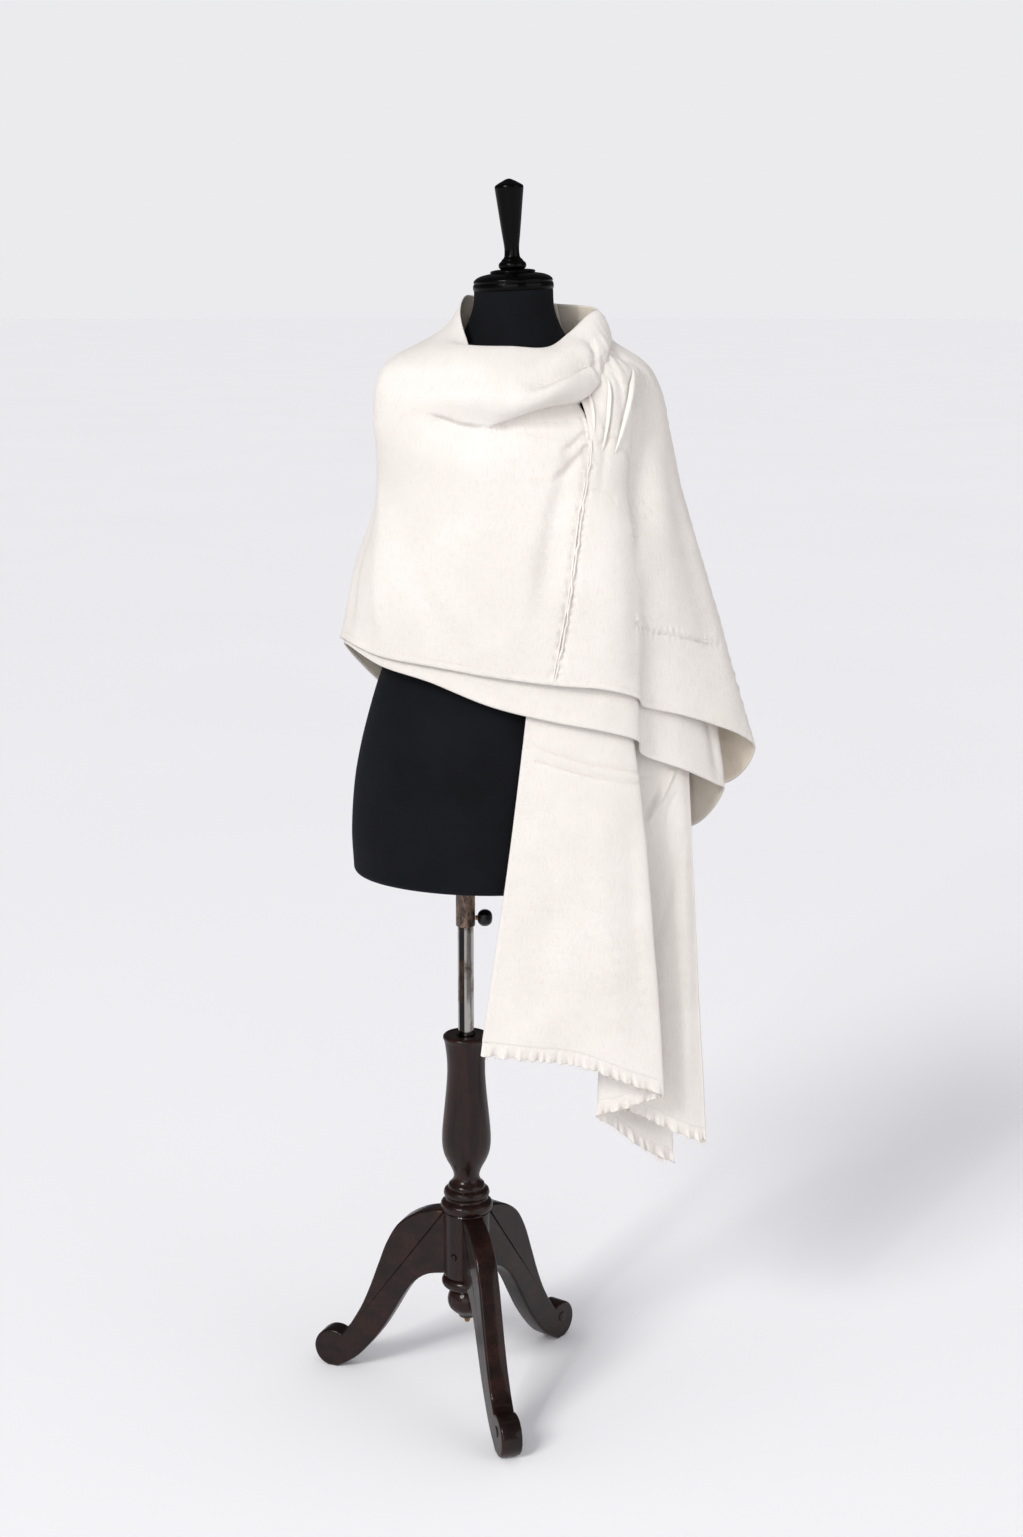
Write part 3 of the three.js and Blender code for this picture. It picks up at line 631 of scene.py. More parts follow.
def jersey_finish():
    """Black knitted jersey, with a faint bloom of lint."""
    made = Finish("jersey", Sheen_Weight=0.05, Sheen_Roughness=0.4, Specular_IOR_Level=0.1)
    made.shader.inputs["Sheen Tint"].default_value = srgb(150, 158, 178)
    ribs = made.noise(made.object_place((1200, 1200, 260)), 1.0, 2.0)
    rows = made.noise(made.object_place((300, 300, 1500)), 1.0, 2.0)
    broad = made.noise(made.object_place(), 14.0, 3.0)
    lint = made.noise(made.object_place(), 420.0, 1.0)
    knit = made.sum(ribs, rows)
    dark = made.mix(made.ramp(broad, [(0.3, 0.0), (0.7, 1.0)]), srgb(13, 14, 17), srgb(18, 19, 23))
    dark = made.mix(made.ramp(knit, [(0.4, 0.5), (0.6, 0.0)]), dark, srgb(8, 8, 10))
    made.colour(made.mix(made.ramp(lint, [(0.77, 0.0), (0.82, 0.5)]), dark, srgb(62, 62, 66)))
    made.roughness(made.ramp(knit, [(0.3, 0.98), (0.7, 0.86)]))
    made.bump(knit, 0.0004, 0.6)
    return made.material


def lacquer_finish():
    """Black gloss lacquer on turned wood, with faint brush lines and dust."""
    made = Finish("lacquer", Coat_Weight=0.12, Coat_Roughness=0.04, Specular_IOR_Level=0.04)
    lines = made.noise(made.object_place((60, 60, 900)), 1.0, 3.0)
    dust = made.noise(made.object_place(), 900.0, 2.0)
    worn = made.noise(made.object_place(), 40.0, 4.0)
    base = made.mix(made.ramp(worn, [(0.4, 0.0), (0.75, 1.0)]), srgb(3, 3, 3), srgb(7, 6, 6))
    made.colour(made.mix(made.ramp(dust, [(0.74, 0.0), (0.84, 0.3)]), base, srgb(50, 48, 46)))
    made.roughness(made.ramp(made.sum(lines, worn), [(0.6, 0.14), (1.4, 0.34)]))
    made.bump(lines, 0.00008)
    return made.material


def mahogany_finish(name="mahogany", grain=(26, 26, 2.4)):
    """Dark stained mahogany under varnish. grain scales the figure, long way smallest."""
    made = Finish(name, Coat_Weight=0.35, Coat_Roughness=0.1, Specular_IOR_Level=0.12)
    place = made.object_place(grain)
    figure = made.noise(place, 3.0, 6.0, 0.6)
    pores = made.noise(made.object_place(tuple(12 * g for g in grain)), 3.0, 3.0)
    blotch = made.noise(made.object_place(), 16.0, 4.0)
    wood = made.ramp(figure, [
        (0.3, srgb(14, 6, 5)), (0.5, srgb(31, 15, 11)), (0.62, srgb(42, 20, 14)), (0.75, srgb(20, 9, 7)),
    ])
    wood = made.mix(made.ramp(pores, [(0.36, 0.7), (0.48, 0.0)]), wood, srgb(9, 4, 4))
    wood = made.mix(made.ramp(blotch, [(0.4, 0.0), (0.8, 0.45)]), wood, srgb(20, 11, 10))
    rubbed = made.noise(made.object_place(tuple(0.5 * g for g in grain)), 5.0, 5.0)
    made.colour(made.mix(made.ramp(rubbed, [(0.62, 0.0), (0.74, 0.3)]), wood, srgb(70, 38, 24)))
    made.roughness(made.ramp(made.sum(pores, blotch), [(0.6, 0.26), (1.3, 0.5)]))
    made.bump(made.sum(pores, made.sum(figure, 0.5, "MULTIPLY")), 0.00025)
    return made.material


def metal_finish(name, bright, dull, gloss, tarnish, painted_reflection=0.0):
    """A metal whose bright colour shows through patches of its dull one. gloss is the
    lowest roughness, tarnish the share of the surface that has dulled, and streaked how
    black its long vertical bands of painted reflection are."""
    made = Finish(name, Metallic=1.0)
    patches = made.noise(made.object_place((26, 26, 14)), 2.0, 5.0, 0.65)
    drawn = made.noise(made.object_place((700, 700, 26)), 1.0, 3.0)
    specks = made.noise(made.object_place(), 520.0, 2.0)
    cover = made.ramp(patches, [(0.66 - 0.4 * tarnish, 0.0), (0.80 - 0.3 * tarnish, 1.0)])
    # Long vertical bands of near black, painted in as the dark reflections that a chrome tube shows.
    painted_reflection_bands = made.noise(made.object_place((120, 120, 1.2)), 1.0, 1.0)
    colour = made.mix(made.ramp(painted_reflection_bands, [(0.46, 0.0), (0.5, painted_reflection)]), bright, srgb(18, 16, 16))
    colour = made.mix(cover, colour, dull)
    made.colour(made.mix(made.ramp(specks, [(0.7, 0.0), (0.78, 0.5)]), colour, srgb(38, 28, 22)))
    rough = made.sum(made.sum(cover, 0.28, "MULTIPLY"), made.sum(drawn, 0.12, "MULTIPLY"))
    made.roughness(made.sum(rough, gloss))
    made.bump(made.sum(drawn, patches), 0.00006)
    return made.material


def bronze_finish():
    """Old dark-bronzed steel tube, worn through to brown and bright in patches."""
    made = Finish("bronze", Metallic=0.85)
    patches = made.noise(made.object_place((46, 46, 22)), 1.0, 6.0, 0.7)
    scratches = made.noise(made.object_place((300, 300, 1900)), 1.0, 3.0)
    paint = made.ramp(patches, [
        (0.38, srgb(44, 37, 34)), (0.47, srgb(98, 86, 78)), (0.53, srgb(140, 118, 102)),
        (0.6, srgb(82, 70, 64)), (0.7, srgb(36, 31, 29)),
    ])
    made.colour(made.mix(made.ramp(scratches, [(0.68, 0.0), (0.74, 0.7)]), paint, srgb(176, 160, 142)))
    made.roughness(made.ramp(patches, [(0.35, 0.3), (0.7, 0.62)]))
    made.bump(made.sum(patches, scratches), 0.0002)
    return made.material


def plastic_finish():
    """Moulded black plastic with a fine satin grain."""
    made = Finish("knob_plastic", Specular_IOR_Level=0.4)
    grain = made.noise(made.object_place(), 900.0, 2.0)
    handled = made.noise(made.object_place(), 90.0, 3.0)
    made.colour(made.ramp(handled, [(0.35, srgb(7, 7, 8)), (0.75, srgb(18, 18, 20))]))
    made.roughness(made.ramp(handled, [(0.3, 0.28), (0.7, 0.46)]))
    made.bump(grain, 0.00008)
    return made.material


WOOL = wool_finish()
# The inner faces: the same wool painted lighter and warmer, a painted glow for light bouncing between the
# folds and through the cloth.
WOOL_INNER_PAINTED_GLOW = wool_finish("wool_inner_painted_glow", painted_glow=1.0)
THREAD = thread_finish()
JERSEY = jersey_finish()
LACQUER = lacquer_finish()
MAHOGANY = mahogany_finish()
MAHOGANY_LEG = mahogany_finish("mahogany_leg", grain=(9, 9, 14))
# The last number, 0.95, is how black the chrome's long vertical bands of painted reflection are.
CHROME = metal_finish("chrome", srgb(168, 166, 163), srgb(84, 66, 52), 0.08, 0.35, 0.95)
BRONZE = bronze_finish()
PLASTIC = plastic_finish()
BRASS = metal_finish("brass", srgb(188, 146, 84), srgb(110, 78, 46), 0.2, 0.4)


# ---- the cloth -----------------------------------------------------------------------
# Each fold is (route of [column, level], height, width, how steep its left side is, and
# the share of its length that it fades over).
COWL_FOLDS = [
    ([[2.05, 2.86], [2.5, 2.95], [3.02, 2.94]], -7.5, 14, 0.86),
    ([[2.93, 2.97], [3.8, 2.84], [5.0, 3.04], [6.1, 3.3]], -9.0, 17, 0.88, 0.16),
    ([[2.93, 2.99], [3.8, 2.87], [5.0, 3.07], [6.0, 3.3]], -3.0, 6, 0.8, 0.16),
    ([[2.6, 2.62], [3.9, 2.42], [5.2, 2.66], [6.0, 2.9]], 7.0, 17, 0.2),
    ([[3.0, 2.98], [4.05, 3.24], [5.04, 3.62]], -2.2, 6, 0.6, 0.2),
    ([[3.25, 3.14], [4.0, 3.6], [4.7, 4.05]], -1.3, 5, 0.5, 0.2),
    ([[5.5, 2.3], [4.2, 1.88], [3.3, 2.06]], -10.0, 17, 0.7),
    ([[5.5, 1.95], [4.6, 1.5], [3.6, 1.55]], 4.5, 16, 0.0),
    ([[1.0, 1.95], [1.7, 1.95], [2.4, 1.55]], -4.0, 20, 0.4),
    ([[5.25, 1.5], [5.26, 1.9], [5.35, 2.7]], -6.0, 8, 0.5),
    ([[5.6, 1.6], [5.7, 2.1], [5.9, 2.8]], 3.0, 8, 0.0),
    ([[0.4, 2.2], [-0.6, 2.6], [-1.6, 3.2]], -2.6, 20, 0.3),
]
FRONT_FOLDS = [
    ([[4.93, 3.3], [4.94, 5.0], [4.94, 7.0]], -2.4, 5, 0.2, 0.04),
    ([[4.2, 4.45], [4.6, 4.2], [4.96, 4.05]], -4.0, 9, 0.6, 0.2),
    ([[4.3, 4.05], [4.7, 3.85], [4.96, 3.75]], -3.0, 8, 0.5, 0.2),
    ([[0.98, 4.4], [1.0, 5.6], [1.1, 7.0]], 2.4, 18, 0.4, 0.2),
    ([[0.45, 4.6], [0.4, 5.8], [0.35, 7.0]], -4.0, 20, 0.3, 0.2),
    ([[1.35, 4.8], [2.0, 6.1], [2.8, 7.0]], -3.2, 24, 0.3),
    ([[4.25, 6.4], [4.4, 4.9], [4.75, 3.7]], -6.5, 24, 0.5),
    ([[3.6, 6.9], [3.9, 5.4], [4.2, 4.2]], 1.6, 22, 0.0),
    ([[-3.4, 3.4], [-3.2, 5.2], [-3.2, 7.0]], 7.0, 25, 0.2, 0.3),
    ([[-2.9, 4.7], [-2.4, 5.8], [-2.2, 7.0]], -7.0, 22, 0.4, 0.3),
    ([[-1.9, 3.6], [-1.4, 5.4], [-1.5, 7.0]], 6.0, 24, 0.2, 0.3),
    ([[-3.8, 4.0], [-2.6, 4.6], [-1.2, 4.2]], 3.0, 18, 0.6),
    ([[-3.6, 3.3], [-2.4, 3.7], [-1.0, 3.6]], 3.0, 13, 0.6),
]
SHOULDER_FOLDS = [
    ([[4.0, 3.1], [5.1, 3.4], [6.4, 3.62], [8.4, 3.78]], -2.0, 6, 0.6, 0.12),
    ([[4.0, 3.62], [4.6, 3.78], [5.3, 3.9]], -2.0, 5, 0.5, 0.12),
    ([[7.5, 2.8], [7.25, 3.6], [6.8, 4.5]], -18.0, 34, 0.0, 0.4),
    ([[6.35, 4.2], [6.02, 5.0], [5.95, 6.0]], -5.0, 20, 0.35, 0.2),
    ([[5.95, 5.2], [8.0, 5.26], [8.95, 5.24]], -2.6, 3.6, 0.4, 0.05),
    ([[5.95, 5.15], [8.0, 5.21], [8.95, 5.19]], 1.8, 4.0, 0.0, 0.05),
    ([[5.35, 2.5], [4.96, 2.97], [4.5, 3.34]], -2.6, 5, 0.5),
    ([[7.1, 2.85], [6.06, 3.14], [5.12, 3.54]], -3.0, 6, 0.5),
    ([[4.4, 2.2], [4.55, 3.2], [4.5, 3.9]], -2.6, 9, 0.4),
    ([[5.4, 2.1], [5.6, 2.8], [5.3, 3.5]], -2.4, 8, 0.4),
    ([[6.4, 2.1], [7.4, 2.6], [8.4, 3.2]], -2.4, 11, 0.5),
    ([[4.12, 3.3], [4.08, 4.6], [4.08, 6.0]], -2.4, 5, 0.2, 0.04),
    ([[8.8, 3.2], [8.6, 4.4], [8.8, 6.0]], -4.0, 22, 0.0),
    ([[10.6, 3.0], [10.7, 4.4], [11.0, 6.0]], 8.0, 24, 0.2, 0.3),
    ([[11.2, 3.8], [11.4, 4.8], [11.8, 6.0]], -6.5, 22, 0.4, 0.3),
    ([[9.7, 3.2], [9.8, 4.6], [10.1, 6.0]], -7.0, 20, 0.4, 0.3),
]
TAIL_A_FOLDS = [
    ([[0.02, 0.48], [2.04, 0.57], [4.0, 0.60]], -2.8, 3.2, 0.2, 0.02),
    ([[0.02, 0.495], [2.04, 0.585], [4.0, 0.615]], 1.8, 3.4, 0.2, 0.02),
    ([[0.3, 0.56], [2.32, 0.63], [4.0, 0.65]], -2.6, 3.0, 0.2, 0.04),
    ([[0.9, 0.7], [1.2, 1.3], [1.0, 2.0]], -2.6, 24, 0.2),
    ([[2.3, 0.62], [2.5, 1.2], [2.9, 2.0]], 2.4, 20, 0.2),
    ([[3.4, 0.7], [3.3, 1.2], [3.5, 1.9]], -1.8, 12, 0.2),
    ([[8.2, 0.6], [8.4, 1.3], [8.6, 2.0]], -3.0, 18, 0.3),
    ([[5.6, 0.6], [5.5, 1.3], [5.6, 2.0]], -2.4, 14, 0.2),
]
TAIL_B_FOLDS = [
    ([[2.7, 0.44], [1.84, 0.59], [0.95, 0.74]], 4.2, 4.5, 0.6, 0.15),
    ([[2.5, 0.42], [1.6, 0.56], [0.6, 0.72]], -2.0, 5, 0.4),
    ([[2.8, 0.56], [2.2, 0.66], [1.7, 0.77]], -3.0, 5, 0.5),
    ([[0.1, 0.50], [2.0, 0.49], [3.9, 0.52]], -1.4, 2.8, 0.3, 0.05),
    ([[3.4, 0.72], [2.4, 1.0], [1.2, 1.35]], -1.8, 11, 0.5),
    ([[1.2, 0.9], [1.3, 1.4], [1.4, 2.0]], -2.8, 14, 0.2),
    ([[2.8, 0.8], [2.9, 1.4], [2.7, 2.0]], 2.4, 12, 0.2),
]
UNDER_FOLDS = [
    ([[1.2, 0.9], [1.8, 1.4], [2.4, 2.0]], -1.6, 22, 0.0),
    ([[4.6, 0.8], [4.7, 1.4], [4.6, 2.0]], -1.6, 18, 0.0),
    ([[8.9, 0.6], [9.2, 1.4], [9.4, 2.0]], -4.0, 12, 0.4, 0.2),
    ([[9.7, 0.6], [10.0, 1.4], [10.1, 2.0]], 3.0, 12, 0.2, 0.2),
    ([[10.5, 0.6], [10.8, 1.4], [10.9, 2.0]], -3.6, 12, 0.4, 0.2),
    ([[13.4, 0.8], [13.3, 1.4], [13.5, 2.0]], -2.8, 20, 0.0),
]


def with_folds(place, folds, size=0.8, extra=None):
    """The shape of a sheet: its folds, its slow unevenness, and what extra adds."""
    def shape(points, normals, column, level):
        moved = ripple(points, size)
        for each in folds:
            moved = moved + fold(place, points, normals, *each)
        if extra is not None:
            moved = moved + extra(points, column, level)
        return moved
    return shape


def front_extra(points, column, level):
    """Puckers along the front seam, and at the knot where the cowl's folds gather."""
    low = level > FALL_LEVEL
    seam = np.exp(-((FRONT_SEAM - column) / 0.16) ** 2) * low
    gather = np.exp(-(((column - 5.5) / 0.5) ** 2 + ((level - 2.4) / 0.8) ** 2))
    hem = np.exp(-((FRONT_HEM_LEVEL - level) / 0.04) ** 2)
    return (puckers(points, 0.5) * seam + puckers(points, 0.9, 16) * gather
            + puckers(points, 0.3, 15) * hem)


def shoulder_extra(points, column, level):
    seam = np.exp(-((column - SHOULDER_START) / 0.3) ** 2)
    line = np.exp(-((level - 5.24) / 0.05) ** 2) * smoothstep(column, 5.6, 6.2)
    line = line * (1 - smoothstep(column, 8.8, 9.2))
    top = np.exp(-((level - 2.2) / 0.5) ** 2) * (1 - smoothstep(column, 7.0, 8.5))
    hem = np.exp(-((SHOULDER_HEM_LEVEL - level) / 0.04) ** 2)
    return (puckers(points, 0.6) * seam + puckers(points, 0.5, 9) * line
            + puckers(points, 0.9, 19) * top + puckers(points, 0.3, 15) * hem)


def front_sheet():
    columns = np.concatenate([steps(FRONT_START + SEAM, FRONT_SEAM - SEAM, 262)[:-1],
                              steps(FRONT_SEAM - SEAM, COWL_END, 42)])
    levels = np.concatenate([steps(0, FALL_LEVEL, 54)[:-1],
                             steps(FALL_LEVEL, FRONT_HEM_LEVEL, 116)])
    middle_c = (columns[1:] + columns[:-1]) / 2
    middle_l = (levels[1:] + levels[:-1]) / 2
    shown = (middle_c[:, None] < FRONT_SEAM - SEAM) | (middle_l[None] < FALL_LEVEL)
    shape = with_folds(front, COWL_FOLDS + FRONT_FOLDS, extra=front_extra)
    piece = cloth("front_sheet", front, columns, levels, shape, ("foot",), shown)
    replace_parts(piece, "front_panel", "back_panel", "cowl", "collar_fold")
    return piece


def shoulder_sheet():
    columns = np.concatenate([steps(SHOULDER_START + SEAM, COLLAR_START, 150)[:-1],
                              steps(COLLAR_START, SHOULDER_END - SEAM, 90)])
    levels = np.concatenate([steps(0, COLLAR_FOOT_LEVEL, 18)[:-1],
                             steps(COLLAR_FOOT_LEVEL, SHOULDER_HEM_LEVEL, 150)])
    middle_c = (columns[1:] + columns[:-1]) / 2
    middle_l = (levels[1:] + levels[:-1]) / 2
    shown = (middle_c[:, None] > TUCKED_FROM) | (middle_l[None] > COLLAR_FOOT_LEVEL)
    shape = with_folds(shoulder, SHOULDER_FOLDS, extra=shoulder_extra)
    piece = cloth("shoulder_sheet", shoulder, columns, levels, shape, ("foot",), shown)
    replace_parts(piece, "shoulder_panel", "collar_back")
    return piece


def under_sheet():
    columns = steps(12 + SEAM, 28 - SEAM, 400)
    turned_folds = [([[c + 16 * (c < 12), l] for c, l in route], *rest)
                    for route, *rest in UNDER_FOLDS]
    shape = with_folds(under, turned_folds, 0.6)
    piece = cloth("under_sheet", under, columns, steps(0, 2, 60), shape, ("foot",))
    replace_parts(piece, "under_front", "under_back")
    return piece


def band_level(tail, column):
    """The level at which a tail's frilled band begins."""
    end, above = tail(column, np.full(len(column), 2.0)), tail(column, np.full(len(column), 1.9))
    return 2 - 0.1 * FRINGE_DROP / np.linalg.norm(end - above, axis=1)


def frill_wave(tail, column, seed):
    """The frill's wave at each column, from -1 to 1: waves of uneven length."""
    fine = np.linspace(column.min(), column.max(), 1600)
    edge = tail(fine, np.full(len(fine), 2.0))
    length = np.append(0, np.cumsum(np.linalg.norm(np.diff(edge, axis=0), axis=1)))
    rng = np.random.default_rng(seed)
    ends = np.append(0, np.cumsum(rng.uniform(0.45, 1.6, 90) * FRILL_WAVE))
    phase = np.interp(length, ends, np.arange(91) * 2 * math.pi)
    tall = np.interp(length, ends, rng.uniform(0.2, 1.25, 91))
    wave = np.sin(phase + 0.5 * np.sin(phase)) + 0.25 * np.sin(2.3 * phase + 1)
    return np.interp(column, fine, wave * tall)


def tail_pieces(name, tail, last, folds, across, seed):
    """A hanging end and its frilled band, as a sheet and the fringe sewn to it."""
    def starts(column):
        return band_level(tail, column)

    def bend(column, level):
        """How far down the band a point is: 0 above it and 1 at its edge."""
        start = starts(column.ravel()).reshape(column.shape)
        return np.clip((level - start) / (2 - start), 0, 1)

    def extra(points, column, level):
        share = bend(column, level)
        wave = frill_wave(tail, column[:, 0], seed)[:, None]
        line = np.exp(-((share - 0.05) / 0.1) ** 2) * (share > 0)
        return FRILL_REACH * wave * share ** 1.8 - 0.4 * line + puckers(points, 0.4, 8) * line

    shape = with_folds(tail, folds, 0.7, extra)
    columns = steps(0, last, across)

    def sheet_place(column, share):
        return tail(column, share * starts(column))

    def sheet_shape(points, normals, column, share):
        return shape(points, normals, column, share * starts(column.ravel()).reshape(column.shape))

    def band_place(column, share):
        start = starts(column)
        return tail(column, start + (2 - start) * share)

    def band_shape(points, normals, column, share):
        start = starts(column.ravel()).reshape(column.shape)
        return shape(points, normals, column, start + (2 - start) * share)

    rows = np.concatenate([steps(0, 0.5, 84)[:-1], steps(0.5, 1, 84)])
    sheet = cloth(name + "_sheet", sheet_place, columns, rows, sheet_shape, ("start", "end"),
                  lining=WOOL)
    fine = steps(0, last, int(across * 2.4))
    fringe = cloth(name + "_frill", band_place, fine, steps(0, 1, 14), band_shape, thin=0.7,
                   lining=WOOL)
    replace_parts(sheet, name)
    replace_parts(fringe, name + "_fringe")
    return sheet, fringe, band_place, band_shape


def frayed(name, place, shape, last, count, spots, seed):
    """Loose threads at a raw edge, thicker near the spots, which are columns."""
    rng = np.random.default_rng(seed)
    column = rng.uniform(0.02, last - 0.02, count)
    near = rng.random(count) < 0.45
    beside = rng.choice(spots, near.sum()) + rng.normal(0, 0.09, near.sum())
    column[near] = np.clip(beside, 0.02, last - 0.02)
    column = np.sort(column)
    grid_c, grid_s = np.meshgrid(column, np.array([0.9, 1.0]), indexing="ij")
    points = place(grid_c.ravel(), grid_s.ravel()).reshape(count, 2, 3)
    down = unit(points[:, 1] - points[:, 0])
    parts = []
    for start, fall in zip(points[:, 1], down):
        long = rng.uniform(2.0, 6.5)
        curl = rng.normal(0, 0.42, (2, 3))
        share = np.linspace(0, 1, 5)[:, None]
        line = start - fall * 1.2 + long * (fall * share + curl[0] * share ** 2 + curl[1] * share ** 3)
        parts.append(tube(line, rng.uniform(0.13, 0.22), 4))
    return joined(name, parts, THREAD)


# ---- sewn details --------------------------------------------------------------------
PIN_TUCKS = [
    ("pin_tuck_1", [[4.28, 2.1], [4.22, 2.5], [4.1, 2.97]], 4.5),
    ("pin_tuck_2", [[5.2, 2.5], [4.82, 2.95], [4.4, 3.3]], 5.0),
    ("pin_tuck_3", [[7.0, 2.75], [5.9, 3.1], [5.0, 3.5]], 6.0),
]
TUCK_HEIGHT = 3.0
# One tuck's section, flopped over to its left: [sideways, out] as shares of its size.
TUCK_SECTION = [[0.5, -0.25], [0.34, 0.3], [0.06, 0.8], [-0.24, 1.0], [-0.46, 0.86],
                [-0.5, 0.6], [-0.3, 0.5], [-0.16, 0.2], [-0.3, -0.25]]


def surface_frame(place, column, level):
    """Points of a surface, and its unit normals out from the wearer."""
    nudge = 0.01
    here = place(column, level)
    across = place(column + nudge, level) - place(column - nudge, level)
    down = place(column, level + nudge) - place(column, level - nudge)
    return here, unit(np.cross(down, across))


def route_line(place, route, count):
    """Points along a route of [column, level], with the normals and sideways directions."""
    route = np.array(route, float)
    t = np.linspace(0, len(route) - 1, count)
    way = curve(np.column_stack([route, np.zeros(len(route))]), t)
    here, out = surface_frame(place, way[:, 0], way[:, 1])
    side = unit(np.cross(unit(np.gradient(here, axis=0)), out))
    return here, out, side


def strip(name, line, section, width, height, lift, material):
    """A closed strip along a line of (points, normals, sides), pointed at both ends."""
    here, out, side = line
    share = np.linspace(0, 1, len(here))
    swell = 0.12 + 0.88 * np.sin(math.pi * share) ** 0.7
    section = np.array(section, float)
    rows = []
    for k in range(len(here)):
        wide, tall = width * swell[k], height * swell[k]
        across = section[:, :1] * wide * side[k]
        rows.append(here[k] + across + (section[:, 1:] * tall + lift) * out[k])
    return mesh_rows(name, rows, material)


def mesh_rows(name, rows, material):
    """A closed mesh through rows of points that go round it."""
    faces = ring_faces(len(rows), len(rows[0]))
    piece = mesh_object(name, np.concatenate(rows), faces, material)
    points_out(piece)
    return piece


def pin_tucks():
    made = []
    for name, route, width in PIN_TUCKS:
        line = route_line(shoulder, route, 44)
        section = curve(np.column_stack([TUCK_SECTION, np.zeros(9)]), np.linspace(0, 8, 25))[:, :2]
        piece = strip(name + "_sewn", line, section, width, TUCK_HEIGHT, 0.2, WOOL)
        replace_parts(piece, name)
        made.append(piece)
    return made


def seam_welt():
    """The front seam: two narrow rolls of cloth side by side, with puckers between."""
    here, out, side = route_line(shoulder, [[4.0, 3.0], [4.0, 4.0], [4.0, 5.0], [4.0, 5.96]], 260)
    length = np.append(0, np.cumsum(np.linalg.norm(np.diff(here, axis=0), axis=1)))
    wobble = 0.5 * np.sin(length / 5.3) + 0.35 * np.sin(length / 3.1 + 1) + 0.6 * np.sin(length / 23)
    swell = 1 + 0.22 * np.sin(length / 4.1) + 0.14 * np.sin(length / 9.7)
    parts = []
    for offset, radius, phase in ((-1.7, 1.15, 0.0), (1.2, 0.95, 2.0)):
        line = here + side * (offset + wobble * math.cos(phase))[:, None] + out * 1.25
        ring = 2 * math.pi * np.arange(10) / 10
        cross = side[:, None] * np.cos(ring)[:, None] + out[:, None] * np.sin(ring)[:, None]
        points = line[:, None] + cross * (radius * swell)[:, None, None]
        parts.append(ring_tube(points))
    piece = joined("front_seam", parts, WOOL)
    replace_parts(piece, "seam_strip")
    return piece


def ring_tube(points):
    """Vertices and faces of a closed tube through rings of points."""
    count, around = points.shape[:2]
    faces = []
    for i in range(count - 1):
        for k in range(around):
            a, b = i * around + k, i * around + (k + 1) % around
            faces.append([a, a + around, b + around, b])
    faces.append(list(range(around)))
    faces.append([(count - 1) * around + k for k in range(around)][::-1])
    return points.reshape(-1, 3), faces


# Each row of stitches is (surface, route of [column, level]).
STITCH_ROWS = [
    (front, [[-4, 6.9], [-2, 6.9], [0, 6.9], [2, 6.9], [3.5, 6.9], [4.95, 6.9]]),
    (shoulder, [[4.1, 5.93], [6, 5.93], [8, 5.93], [10, 5.94], [11.96, 5.95]]),
    (shoulder, [[5.95, 5.2], [7, 5.22], [8.0, 5.25], [8.95, 5.23]]),
    (tail_a, [[0.04, 0.49], [2.04, 0.57], [4.0, 0.60]]),
    (tail_a, [[0.3, 0.56], [2.32, 0.63], [4.0, 0.65]]),
]


def stitch_row(place, route, rng, lift=CLOTH / 2 + 0.35):
    """Short hand stitches along a route, each a thread that dips in at both ends."""
    fine, _, _ = route_line(place, route, 400)
    length = np.append(0, np.cumsum(np.linalg.norm(np.diff(fine, axis=0), axis=1)))
    starts = np.arange(2.0, length[-1] - STITCH_PITCH, STITCH_PITCH)
    here, out, side = route_line(place, route, 400)
    parts = []
    for start in starts:
        at = start + np.linspace(0, 0.58, 5) * STITCH_PITCH + rng.normal(0, 0.12)
        line = np.stack([np.interp(at, length, here[:, k]) for k in range(3)], axis=1)
        up = np.stack([np.interp(at, length, out[:, k]) for k in range(3)], axis=1)
        sideways = np.stack([np.interp(at, length, side[:, k]) for k in range(3)], axis=1)
        hump = lift * np.array([0.1, 0.85, 1.0, 0.85, 0.1])[:, None]
        line = line + up * (hump + ripple(line)[:, None]) + sideways * rng.normal(0, 0.12)
        parts.append(tube(line, 0.24, 5))
    return parts


def stitches():
    rng = np.random.default_rng(11)
    parts = [part for place, route in STITCH_ROWS for part in stitch_row(place, route, rng)]
    return joined("stitches", parts, THREAD)


# ---- the dress form ------------------------------------------------------------------
# Half width and half depth of the form by height.
FORM_SECTIONS = [
    [754, 161, 118], [800, 167, 123], [868, 168, 124], [912, 164, 121], [960, 156, 114],
    [1010, 145, 105], [1060, 130, 96], [1110, 120, 92], [1170, 126, 98], [1225, 138, 112],
    [1280, 144, 121], [1330, 145, 117], [1365, 142, 104], [1388, 136, 90], [1408, 122, 78],
    [1425, 102, 69], [1440, 84, 61], [1455, 68, 56], [1472, 58, 53], [1490, 52, 51],
    [FORM_TOP, 50.5, 50],
]
FORM_SIDES = 144
FORM_SEAMS = [-90, -128, -52, 90, 128, 52, 0, 180]    # degrees round the form


def form_rings():
    """Half widths and depths down the form: its sections, the turned-under edge at its
    foot, and the bottom board in to the sleeve."""
    t = np.linspace(0, len(FORM_SECTIONS) - 1, 190)
    body = curve(FORM_SECTIONS, t)
    angle = np.radians(np.linspace(0, 90, 9))[1:]
    edge = np.column_stack([754 - 12 * np.sin(angle), 161 - 12 * (1 - np.cos(angle)),
                            118 - 12 * (1 - np.cos(angle))])
    board = [[742, 130, 92], [742, 80, 60], [742, 30, 24], [742, 15, 15], [745, 14, 14], [775, 14, 14]]
    top = [[FORM_TOP + 0.5, 48, 47.5], [FORM_TOP + 0.5, 30, 30], [FORM_TOP + 0.5, 1, 1]]
    return np.concatenate([np.array(board, float)[::-1], edge[::-1], body, np.array(top, float)])


